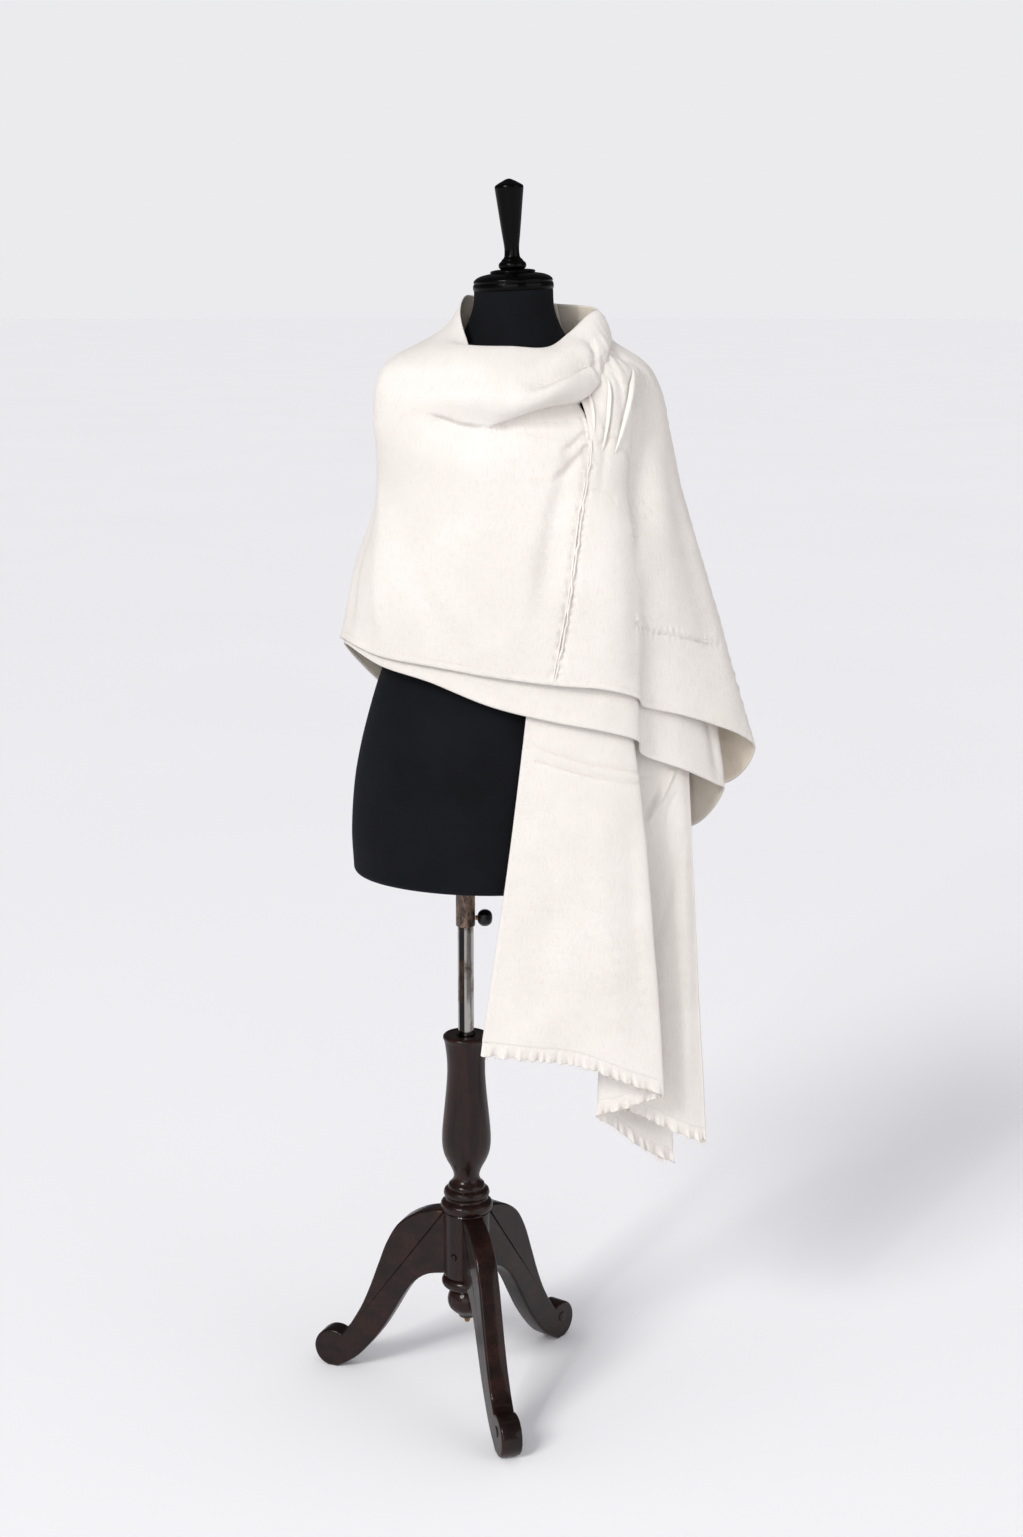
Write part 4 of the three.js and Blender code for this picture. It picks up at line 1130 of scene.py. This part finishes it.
def dress_form():
    turn = math.radians(FORM_TURN)
    angle = 2 * math.pi * np.arange(FORM_SIDES) / FORM_SIDES
    rows = []
    for height, wide, deep in form_rings():
        groove = np.zeros(FORM_SIDES)
        for seam in FORM_SEAMS:
            apart = (np.degrees(angle) - seam + 180) % 360 - 180
            groove += 0.7 * np.exp(-(apart / 1.1) ** 2)
        groove *= 760 < height < 1480
        board = smoothstep(np.array(float(wide)), 15, 120)
        middle = form_middle(height) * board if height < 754 else form_middle(height)
        x, y = (wide - groove) * np.cos(angle), (deep - groove) * np.sin(angle)
        sideways = x * math.cos(turn) - y * math.sin(turn)
        tip = -math.sin(math.radians(CAP_LEAN)) * smoothstep(np.array(float(height)), 1480, FORM_TOP)
        rows.append(np.column_stack([
            middle + sideways, x * math.sin(turn) + y * math.cos(turn), height + sideways * tip,
        ]))
    piece = mesh_rows("dress_form_jersey", rows, JERSEY)
    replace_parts(piece, "dress_form")
    return piece


def onto_form(piece):
    """Sets a turned piece on top of the form, tipped a little back."""
    top = Vector((AXIS[0], AXIS[1], 0))
    centre = Vector((form_middle(FORM_TOP) * MM, 0, (FORM_TOP + 0.3) * MM))
    lean = math.radians(CAP_LEAN)
    for vertex in piece.data.vertices:
        x, y, z = vertex.co - top
        vertex.co = top + centre + Vector((x * math.cos(lean) + z * math.sin(lean), y,
                                           z * math.cos(lean) - x * math.sin(lean)))
    return piece


def neck_cap():
    cap = turned("neck_cap_turned", [
        [[0, -1.2], [49.6, -1.2]], [[49.6, -1.2], [51, 0.4], [51.6, 3.6], [51.3, 7.6]],
        [[51.3, 7.6], [50.2, 8.6]], [[50.2, 8.6], [50.6, 12], [47.5, 15.6], [41, 18.8], [33, 20.6]],
        [[33, 20.6], [28.5, 21.3]], [[28.5, 21.3], [28.9, 23.2], [27.4, 24.6]],
        [[27.4, 24.6], [22, 25.6], [15, 26.2]], [[15, 26.2], [0, 26.2]],
    ], LACQUER, 96)
    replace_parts(onto_form(cap), "neck_cap")
    finial = turned("finial_turned", [
        [[0, 25.6], [14.5, 25.6]], [[14.5, 25.6], [17.4, 28.4], [17.6, 32], [16.4, 34.4]],
        [[16.4, 34.4], [14.2, 36.2], [13.4, 37.8]],
        [[13.4, 37.8], [10.4, 41], [9.5, 47], [9.6, 54], [11.4, 68],
         [13.6, 86], [15.9, 106], [17.8, 122], [18.4, 127.5]],
        [[18.4, 127.5], [17.6, 129.6], [13, 132.6], [7, 135.8], [3, 137.6], [0, 138.2]],
    ], LACQUER, 72)
    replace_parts(onto_form(finial), "finial")
    return [cap, finial]


# ---- pole, sleeve and clamp ----------------------------------------------------------
def pole():
    piece = turned("pole_chromed", [
        [[0, 456], [POLE_RADIUS, 456]], [[POLE_RADIUS, 456], [POLE_RADIUS, 929]],
        [[POLE_RADIUS, 929], [POLE_RADIUS - 1, 930]], [[POLE_RADIUS - 1, 930], [0, 930]],
    ], CHROME)
    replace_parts(piece, "pole")
    return piece


def sleeve():
    foot = SLEEVE_FOOT
    piece = turned("sleeve_bronzed", [
        [[SLEEVE_BORE, foot + 50], [SLEEVE_BORE, foot + 0.6]],
        [[SLEEVE_BORE, foot + 0.6], [SLEEVE_BORE + 0.6, foot]], [[SLEEVE_BORE + 0.6, foot], [12.4, foot]],
        [[12.4, foot], [SLEEVE_RADIUS, foot + 0.8]], [[SLEEVE_RADIUS, foot + 0.8], [SLEEVE_RADIUS, 1051]],
        [[SLEEVE_RADIUS, 1051], [SLEEVE_BORE, 1052]],
    ], BRONZE)
    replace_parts(piece, "sleeve")
    return piece


def lie_along_x(piece, height):
    """Turns a piece that stands on the Z axis to point along X at a height."""
    for vertex in piece.data.vertices:
        x, y, z = vertex.co.x - AXIS[0], vertex.co.y - AXIS[1], vertex.co.z
        vertex.co = Vector((AXIS[0] + z, AXIS[1] + y, height * MM - x))
    return piece


KNOB_FLUTES = 10


def clamp_knob():
    start = SLEEVE_RADIUS + 0.3
    screw = turned("knob_screw", [
        [[0, start], [3.2, start]], [[3.2, start], [3.2, start + 4]], [[3.2, start + 4], [0, start + 4]],
    ], BRASS, 32)
    knob = turned("knob_turned", [
        [[0, start + 3], [5, start + 3.2], [8.2, start + 5], [10.6, start + 8.2], [11.5, start + 12],
         [10.9, start + 16.6], [8.5, start + 20.4], [5, start + 22.4], [0, start + 23]],
    ], PLASTIC, 80, 0.2)
    for vertex in knob.data.vertices:
        x, y = vertex.co.x - AXIS[0], vertex.co.y - AXIS[1]
        rim = smoothstep(np.array(math.hypot(x, y) / MM), 7, 11)
        share = 1 - 0.045 * rim * (0.5 + 0.5 * math.cos(KNOB_FLUTES * math.atan2(y, x)))
        vertex.co.x, vertex.co.y = AXIS[0] + x * share, AXIS[1] + y * share
    for piece in (screw, knob):
        lie_along_x(piece, KNOB_HEIGHT)
    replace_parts(knob, "clamp_knob")
    return [screw, knob]


# ---- pedestal and legs ---------------------------------------------------------------
def pedestal():
    piece = turned("pedestal_turned", [
        [[0, 264], [DRUM_RADIUS, 264]],
        [[DRUM_RADIUS, 264], [35.2, 267], [36.2, 271.5], [35.2, 276], [33, 278.6]],
        [[33, 278.6], [29.4, 281]], [[29.4, 281], [28.8, 283.4], [29.6, 285.2]],
        [[29.6, 285.2], [31.4, 287.6], [31.6, 291.4], [30.2, 295]], [[30.2, 295], [25.6, 298]],
        [[25.6, 298], [25.4, 300.6], [24.2, 303.2]],
        [[24.2, 303.2], [20, 307.6], [17.8, 313], [18.4, 319], [22, 328], [27.4, 338], [31.4, 348],
         [33.5, 361], [33.4, 378], [31.5, 400], [29, 425], [26.8, 450], [26, 470], [26.8, 487], [28.8, 504],
         [30.2, 510.5]],
        [[30.2, 510.5], [31.4, 512.6], [31.3, 515.6], [29.6, 517.6]], [[29.6, 517.6], [26, 518]],
        [[26, 518], [25, 517.2]], [[25, 517.2], [15, 517.2]],
        [[15, 517.2], [12, 515.6]], [[12, 515.6], [12, 500]],
    ], MAHOGANY, 96)
    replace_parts(piece, "pedestal")
    drum = turned("drum_turned", [
        [[0, 168.5], [29.5, 168.5]], [[29.5, 168.5], [31.4, 169.2], [DRUM_RADIUS, 171.4]],
        [[DRUM_RADIUS, 171.4], [DRUM_RADIUS, 262]],
        [[DRUM_RADIUS, 262], [31, 263.7]], [[31, 263.7], [0, 263.7]],
    ], MAHOGANY, 80)
    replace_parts(drum, "drum")
    pendant = turned("pendant_turned", [
        [[0, 104], [7, 104]], [[7, 104], [10.6, 105.4], [12.6, 108.6], [14.6, 111.6]],
        [[14.6, 111.6], [20, 115.6], [25.2, 122], [27.2, 131], [25.6, 140], [22, 146.4]],
        [[22, 146.4], [20.6, 149]],
        [[20.6, 149], [26.6, 150.6], [33, 154], [35.2, 160], [33, 165.6], [29, 168.2]],
        [[29, 168.2], [0, 168.2]],
    ], MAHOGANY, 80)
    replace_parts(pendant, "pendant")
    tip = turned("pendant_tip_turned", [
        [[0, 96], [2, 96.3], [3.6, 97.8], [4.1, 100.2]], [[4.1, 100.2], [3.2, 101.4]],
        [[3.2, 101.4], [3.2, 103.9]], [[3.2, 103.9], [0, 103.9]],
    ], BRASS, 40)
    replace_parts(tip, "pendant_tip")
    return [piece, drum, pendant, tip]


def peg(number, angle):
    start = DRUM_RADIUS - 1
    piece = turned(f"peg_{number}_turned", [
        [[0, start], [5, start]], [[5, start], [5, start + 1.6]],
        [[5, start + 1.6], [4.4, start + 3], [2.6, start + 3.9], [0, start + 4.2]],
    ], MAHOGANY, 36)
    lie_along_x(piece, PEG_HEIGHT)
    turn_about_pole(piece, angle)
    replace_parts(piece, f"peg_{number}")
    return piece


def turn_about_pole(piece, angle):
    c, s = math.cos(math.radians(angle)), math.sin(math.radians(angle))
    for vertex in piece.data.vertices:
        x, y = vertex.co.x - AXIS[0], vertex.co.y - AXIS[1]
        vertex.co.x, vertex.co.y = AXIS[0] + x * c - y * s, AXIS[1] + x * s + y * c


LEG_ROUND = 3.4               # radius of a leg's long edges
LEG_TOP = [[26, 262], [46, 261], [72, 252], [98, 233], [116, 204], [130, 168],
           [144, 130], [158, 98], [174, 70]]
LEG_LOW = [[189, 4], [168, 18], [147, 40], [126, 68], [108, 98], [92, 126],
           [76, 148], [56, 163], [26, 170]]


def smooth_line(points, fine=7):
    points = np.array(points, float)
    t = np.linspace(0, len(points) - 1, (len(points) - 1) * fine + 1)
    return curve(np.column_stack([points, np.zeros(len(points))]), t)[:, :2]


def leg_outline():
    """The side view of a leg: distance from the pole, and height. Its foot is a scroll."""
    centre, flat = np.array(FOOT_CENTRE, float), math.asin(FOOT_CENTRE[1] / FOOT_RADIUS)
    notch = math.atan2(62 - centre[1], 182 - centre[0])
    arc = np.linspace(notch, flat - math.pi, 46)
    scroll = centre + FOOT_RADIUS * np.column_stack([np.cos(arc), np.sin(arc)])
    scroll[:, 1] = np.maximum(scroll[:, 1], 0)
    return np.concatenate([smooth_line(LEG_TOP), scroll, smooth_line(LEG_LOW)])


def inset(outline, depth):
    """The outline moved in by depth, without crossing itself at its sharp notch."""
    before, after = np.roll(outline, 1, axis=0), np.roll(outline, -1, axis=0)
    run = unit(after - before)
    return outline + depth * np.column_stack([run[:, 1], -run[:, 0]])


def leg(number, angle):
    outline = leg_outline()
    keep = np.append(True, np.linalg.norm(np.diff(outline, axis=0), axis=1) > 0.4)
    outline = outline[keep]
    half = LEG_THICKNESS / 2
    rows = []
    for turn in np.radians([90, 67, 45, 22, 0]):
        edge = inset(outline, LEG_ROUND * (1 - math.cos(turn)))
        rows.append((edge, -half + LEG_ROUND * (1 - math.sin(turn))))
    rows.insert(0, (inset(outline, LEG_ROUND + 0.3), -half))
    profile = rows + [(edge, -y) for edge, y in rows[::-1]]
    vertices = [np.column_stack([edge[:, 0], np.full(len(edge), y), edge[:, 1]])
                for edge, y in profile]
    faces = ring_faces(len(profile), len(outline))
    piece = mesh_object(f"leg_{number}_carved", np.concatenate(vertices), faces, MAHOGANY_LEG)
    points_out(piece)
    turn_about_pole(piece, angle)
    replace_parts(piece, f"leg_{number}")
    return piece


def scroll_plug(number, angle):
    """The wooden plug over the fixing at the middle of a scroll foot, on its left side."""
    half = LEG_THICKNESS / 2
    piece = turned(f"scroll_plug_{number}", [
        [[0, half - 1], [7.6, half - 1]], [[7.6, half - 1], [7.6, half + 0.5]],
        [[7.6, half + 0.5], [6.4, half + 1.3], [3.2, half + 1.7], [0, half + 1.8]],
    ], MAHOGANY, 40)
    for vertex in piece.data.vertices:
        x, y, z = vertex.co.x - AXIS[0], vertex.co.y - AXIS[1], vertex.co.z
        vertex.co = Vector((AXIS[0] + x + FOOT_CENTRE[0] * MM, AXIS[1] - z, y + (FOOT_CENTRE[1] + 6) * MM))
    points_out(piece)
    turn_about_pole(piece, angle)
    return piece


# ---- assembly ------------------------------------------------------------------------
def make_cloth():
    tail_a_sheet, frill_a, band_a, shape_a = tail_pieces("tail_a", tail_a, 10, TAIL_A_FOLDS, 156, 5)
    tail_b_sheet, frill_b, band_b, shape_b = tail_pieces("tail_b", tail_b, 4, TAIL_B_FOLDS, 50, 8)
    fray_a = frayed("tail_a_threads", band_a, shape_a, 10, 420, [3.1, 4.2, 6.6, 9.6], 21)
    fray_b = frayed("tail_b_threads", band_b, shape_b, 4, 130, [0.3, 3.8], 22)
    pieces = {
        "front": front_sheet(), "shoulder": shoulder_sheet(), "under": under_sheet(),
        "tail_a": tail_a_sheet, "tail_b": tail_b_sheet,
    }
    tucks, seam, sewing = pin_tucks(), seam_welt(), stitches()
    trim = [*tucks, seam, sewing, frill_a, frill_b, fray_a, fray_b]
    for piece in [*pieces.values(), *trim]:
        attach(piece, "form")


def ride_all(pieces, body):
    for piece in pieces:
        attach(piece, body)


def make_stand():
    ride_all([dress_form()], "form")
    ride_all(neck_cap(), "form")
    ride_all([pole()], "pole")
    ride_all([sleeve()], "form")
    screw, knob = clamp_knob()
    ride_all([screw], "knob")
    ride_all([knob], "knob")
    column, drum, pendant, tip = pedestal()
    wood = [column, drum, pendant]
    for number, angle in enumerate(PEG_ANGLES, 1):
        wood.append(peg(number, angle))
    for number, angle in enumerate(LEG_ANGLES, 1):
        wood += [leg(number, angle), scroll_plug(number, angle)]
    ride_all(wood, "base")
    ride_all([tip], "base")


# ---- camera, floor and light ---------------------------------------------------------
AMBIENT = 0.56                # light from all round
MIRRORED = 0.18               # share of it that gloss reflects, as from a dark room
KEY, FILL, LOW, SOFTBOX = 1.52, 0.7, 0.8, 12     # suns in W/m2, and an area light in W
CAMERA_OFFSET = (0.062, -3.030, 1.525)    # from the foot of the pole, in metres
CAMERA_DOWN = 11.88                       # degrees below the horizon
CAMERA_LENS = 54.5


def camera():
    data = bpy.data.cameras.new("camera")
    data.lens = CAMERA_LENS
    made = bpy.data.objects.new("camera", data)
    made.location = Vector(CAMERA_OFFSET) + Vector(AXIS)
    made.rotation_euler = (math.radians(90 - CAMERA_DOWN), 0, 0)
    bpy.context.scene.collection.objects.link(made)
    bpy.context.scene.camera = made


def floor():
    """A wide plain floor, which runs into the pale background."""
    made = Finish("floor", Roughness=0.9, Specular_IOR_Level=0.1)
    tone = made.noise(made.object_place(), 0.6, 2.0)
    made.colour(made.ramp(tone, [(0.3, srgb(248, 247, 249)), (0.7, srgb(250, 249, 251))]))
    angle = 2 * math.pi * np.arange(96) / 96
    rings = [np.column_stack([r * np.cos(angle), r * np.sin(angle), np.full(96, -0.4)])
             for r in (10, 900, 4000, 20000, 90000)]
    faces = [[i * 96 + k, i * 96 + (k + 1) % 96, (i + 1) * 96 + (k + 1) % 96, (i + 1) * 96 + k][::-1]
             for i in range(4) for k in range(96)]
    faces.append(list(range(96)))
    mesh_object("floor", np.concatenate(rings), faces, made.material)


def light(name, kind, energy, colour, place, aim, **settings):
    data = bpy.data.lights.new(name, kind)
    data.energy = energy
    data.color = colour
    for key, value in settings.items():
        setattr(data, key, value)
    made = bpy.data.objects.new(name, data)
    made.location = Vector(place) + Vector(AXIS)
    made.rotation_euler = (Vector(aim) - Vector(place)).to_track_quat("-Z", "Y").to_euler()
    bpy.context.scene.collection.objects.link(made)


def studio():
    """A pale background, and the softer light that it gives."""
    world = bpy.data.worlds.new("studio")
    world.use_nodes = True
    nodes, links = world.node_tree.nodes, world.node_tree.links
    seen = nodes["Background"]
    seen.inputs["Color"].default_value = srgb(235, 235, 238)
    given = nodes.new("ShaderNodeBackground")
    given.inputs["Color"].default_value = srgb(250, 251, 255)
    path = nodes.new("ShaderNodeLightPath")
    strength = nodes.new("ShaderNodeMath")
    strength.operation = "MULTIPLY_ADD"
    strength.inputs[1].default_value = (MIRRORED - 1) * AMBIENT
    strength.inputs[2].default_value = AMBIENT
    links.new(path.outputs["Is Glossy Ray"], strength.inputs[0])
    links.new(strength.outputs[0], given.inputs["Strength"])
    mix = nodes.new("ShaderNodeMixShader")
    links.new(path.outputs["Is Camera Ray"], mix.inputs[0])
    links.new(given.outputs[0], mix.inputs[1])
    links.new(seen.outputs[0], mix.inputs[2])
    links.new(mix.outputs[0], nodes["World Output"].inputs["Surface"])
    bpy.context.scene.world = world
    bpy.context.scene.view_settings.view_transform = "Standard"


def lights():
    middle = (0, 0, 1.0)
    light("key", "SUN", KEY, (1.0, 0.99, 0.975), (-1.75, -2.3, 3.0), middle, angle=math.radians(20))
    light("fill", "SUN", FILL, (1.0, 0.975, 0.975), (2.7, -1.5, 1.7), middle, angle=math.radians(50))
    light("low", "SUN", LOW, (1.0, 0.995, 0.985), (-0.5, -3.0, 1.25), middle, angle=math.radians(45))
    light("softbox", "AREA", SOFTBOX, (1.0, 1.0, 1.0), (-1.2, -2.3, 2.4), (0, 0, 1.2),
          shape="RECTANGLE", size=0.12, size_y=0.4)


make_cloth()
make_stand()
floor()
camera()
studio()
lights()
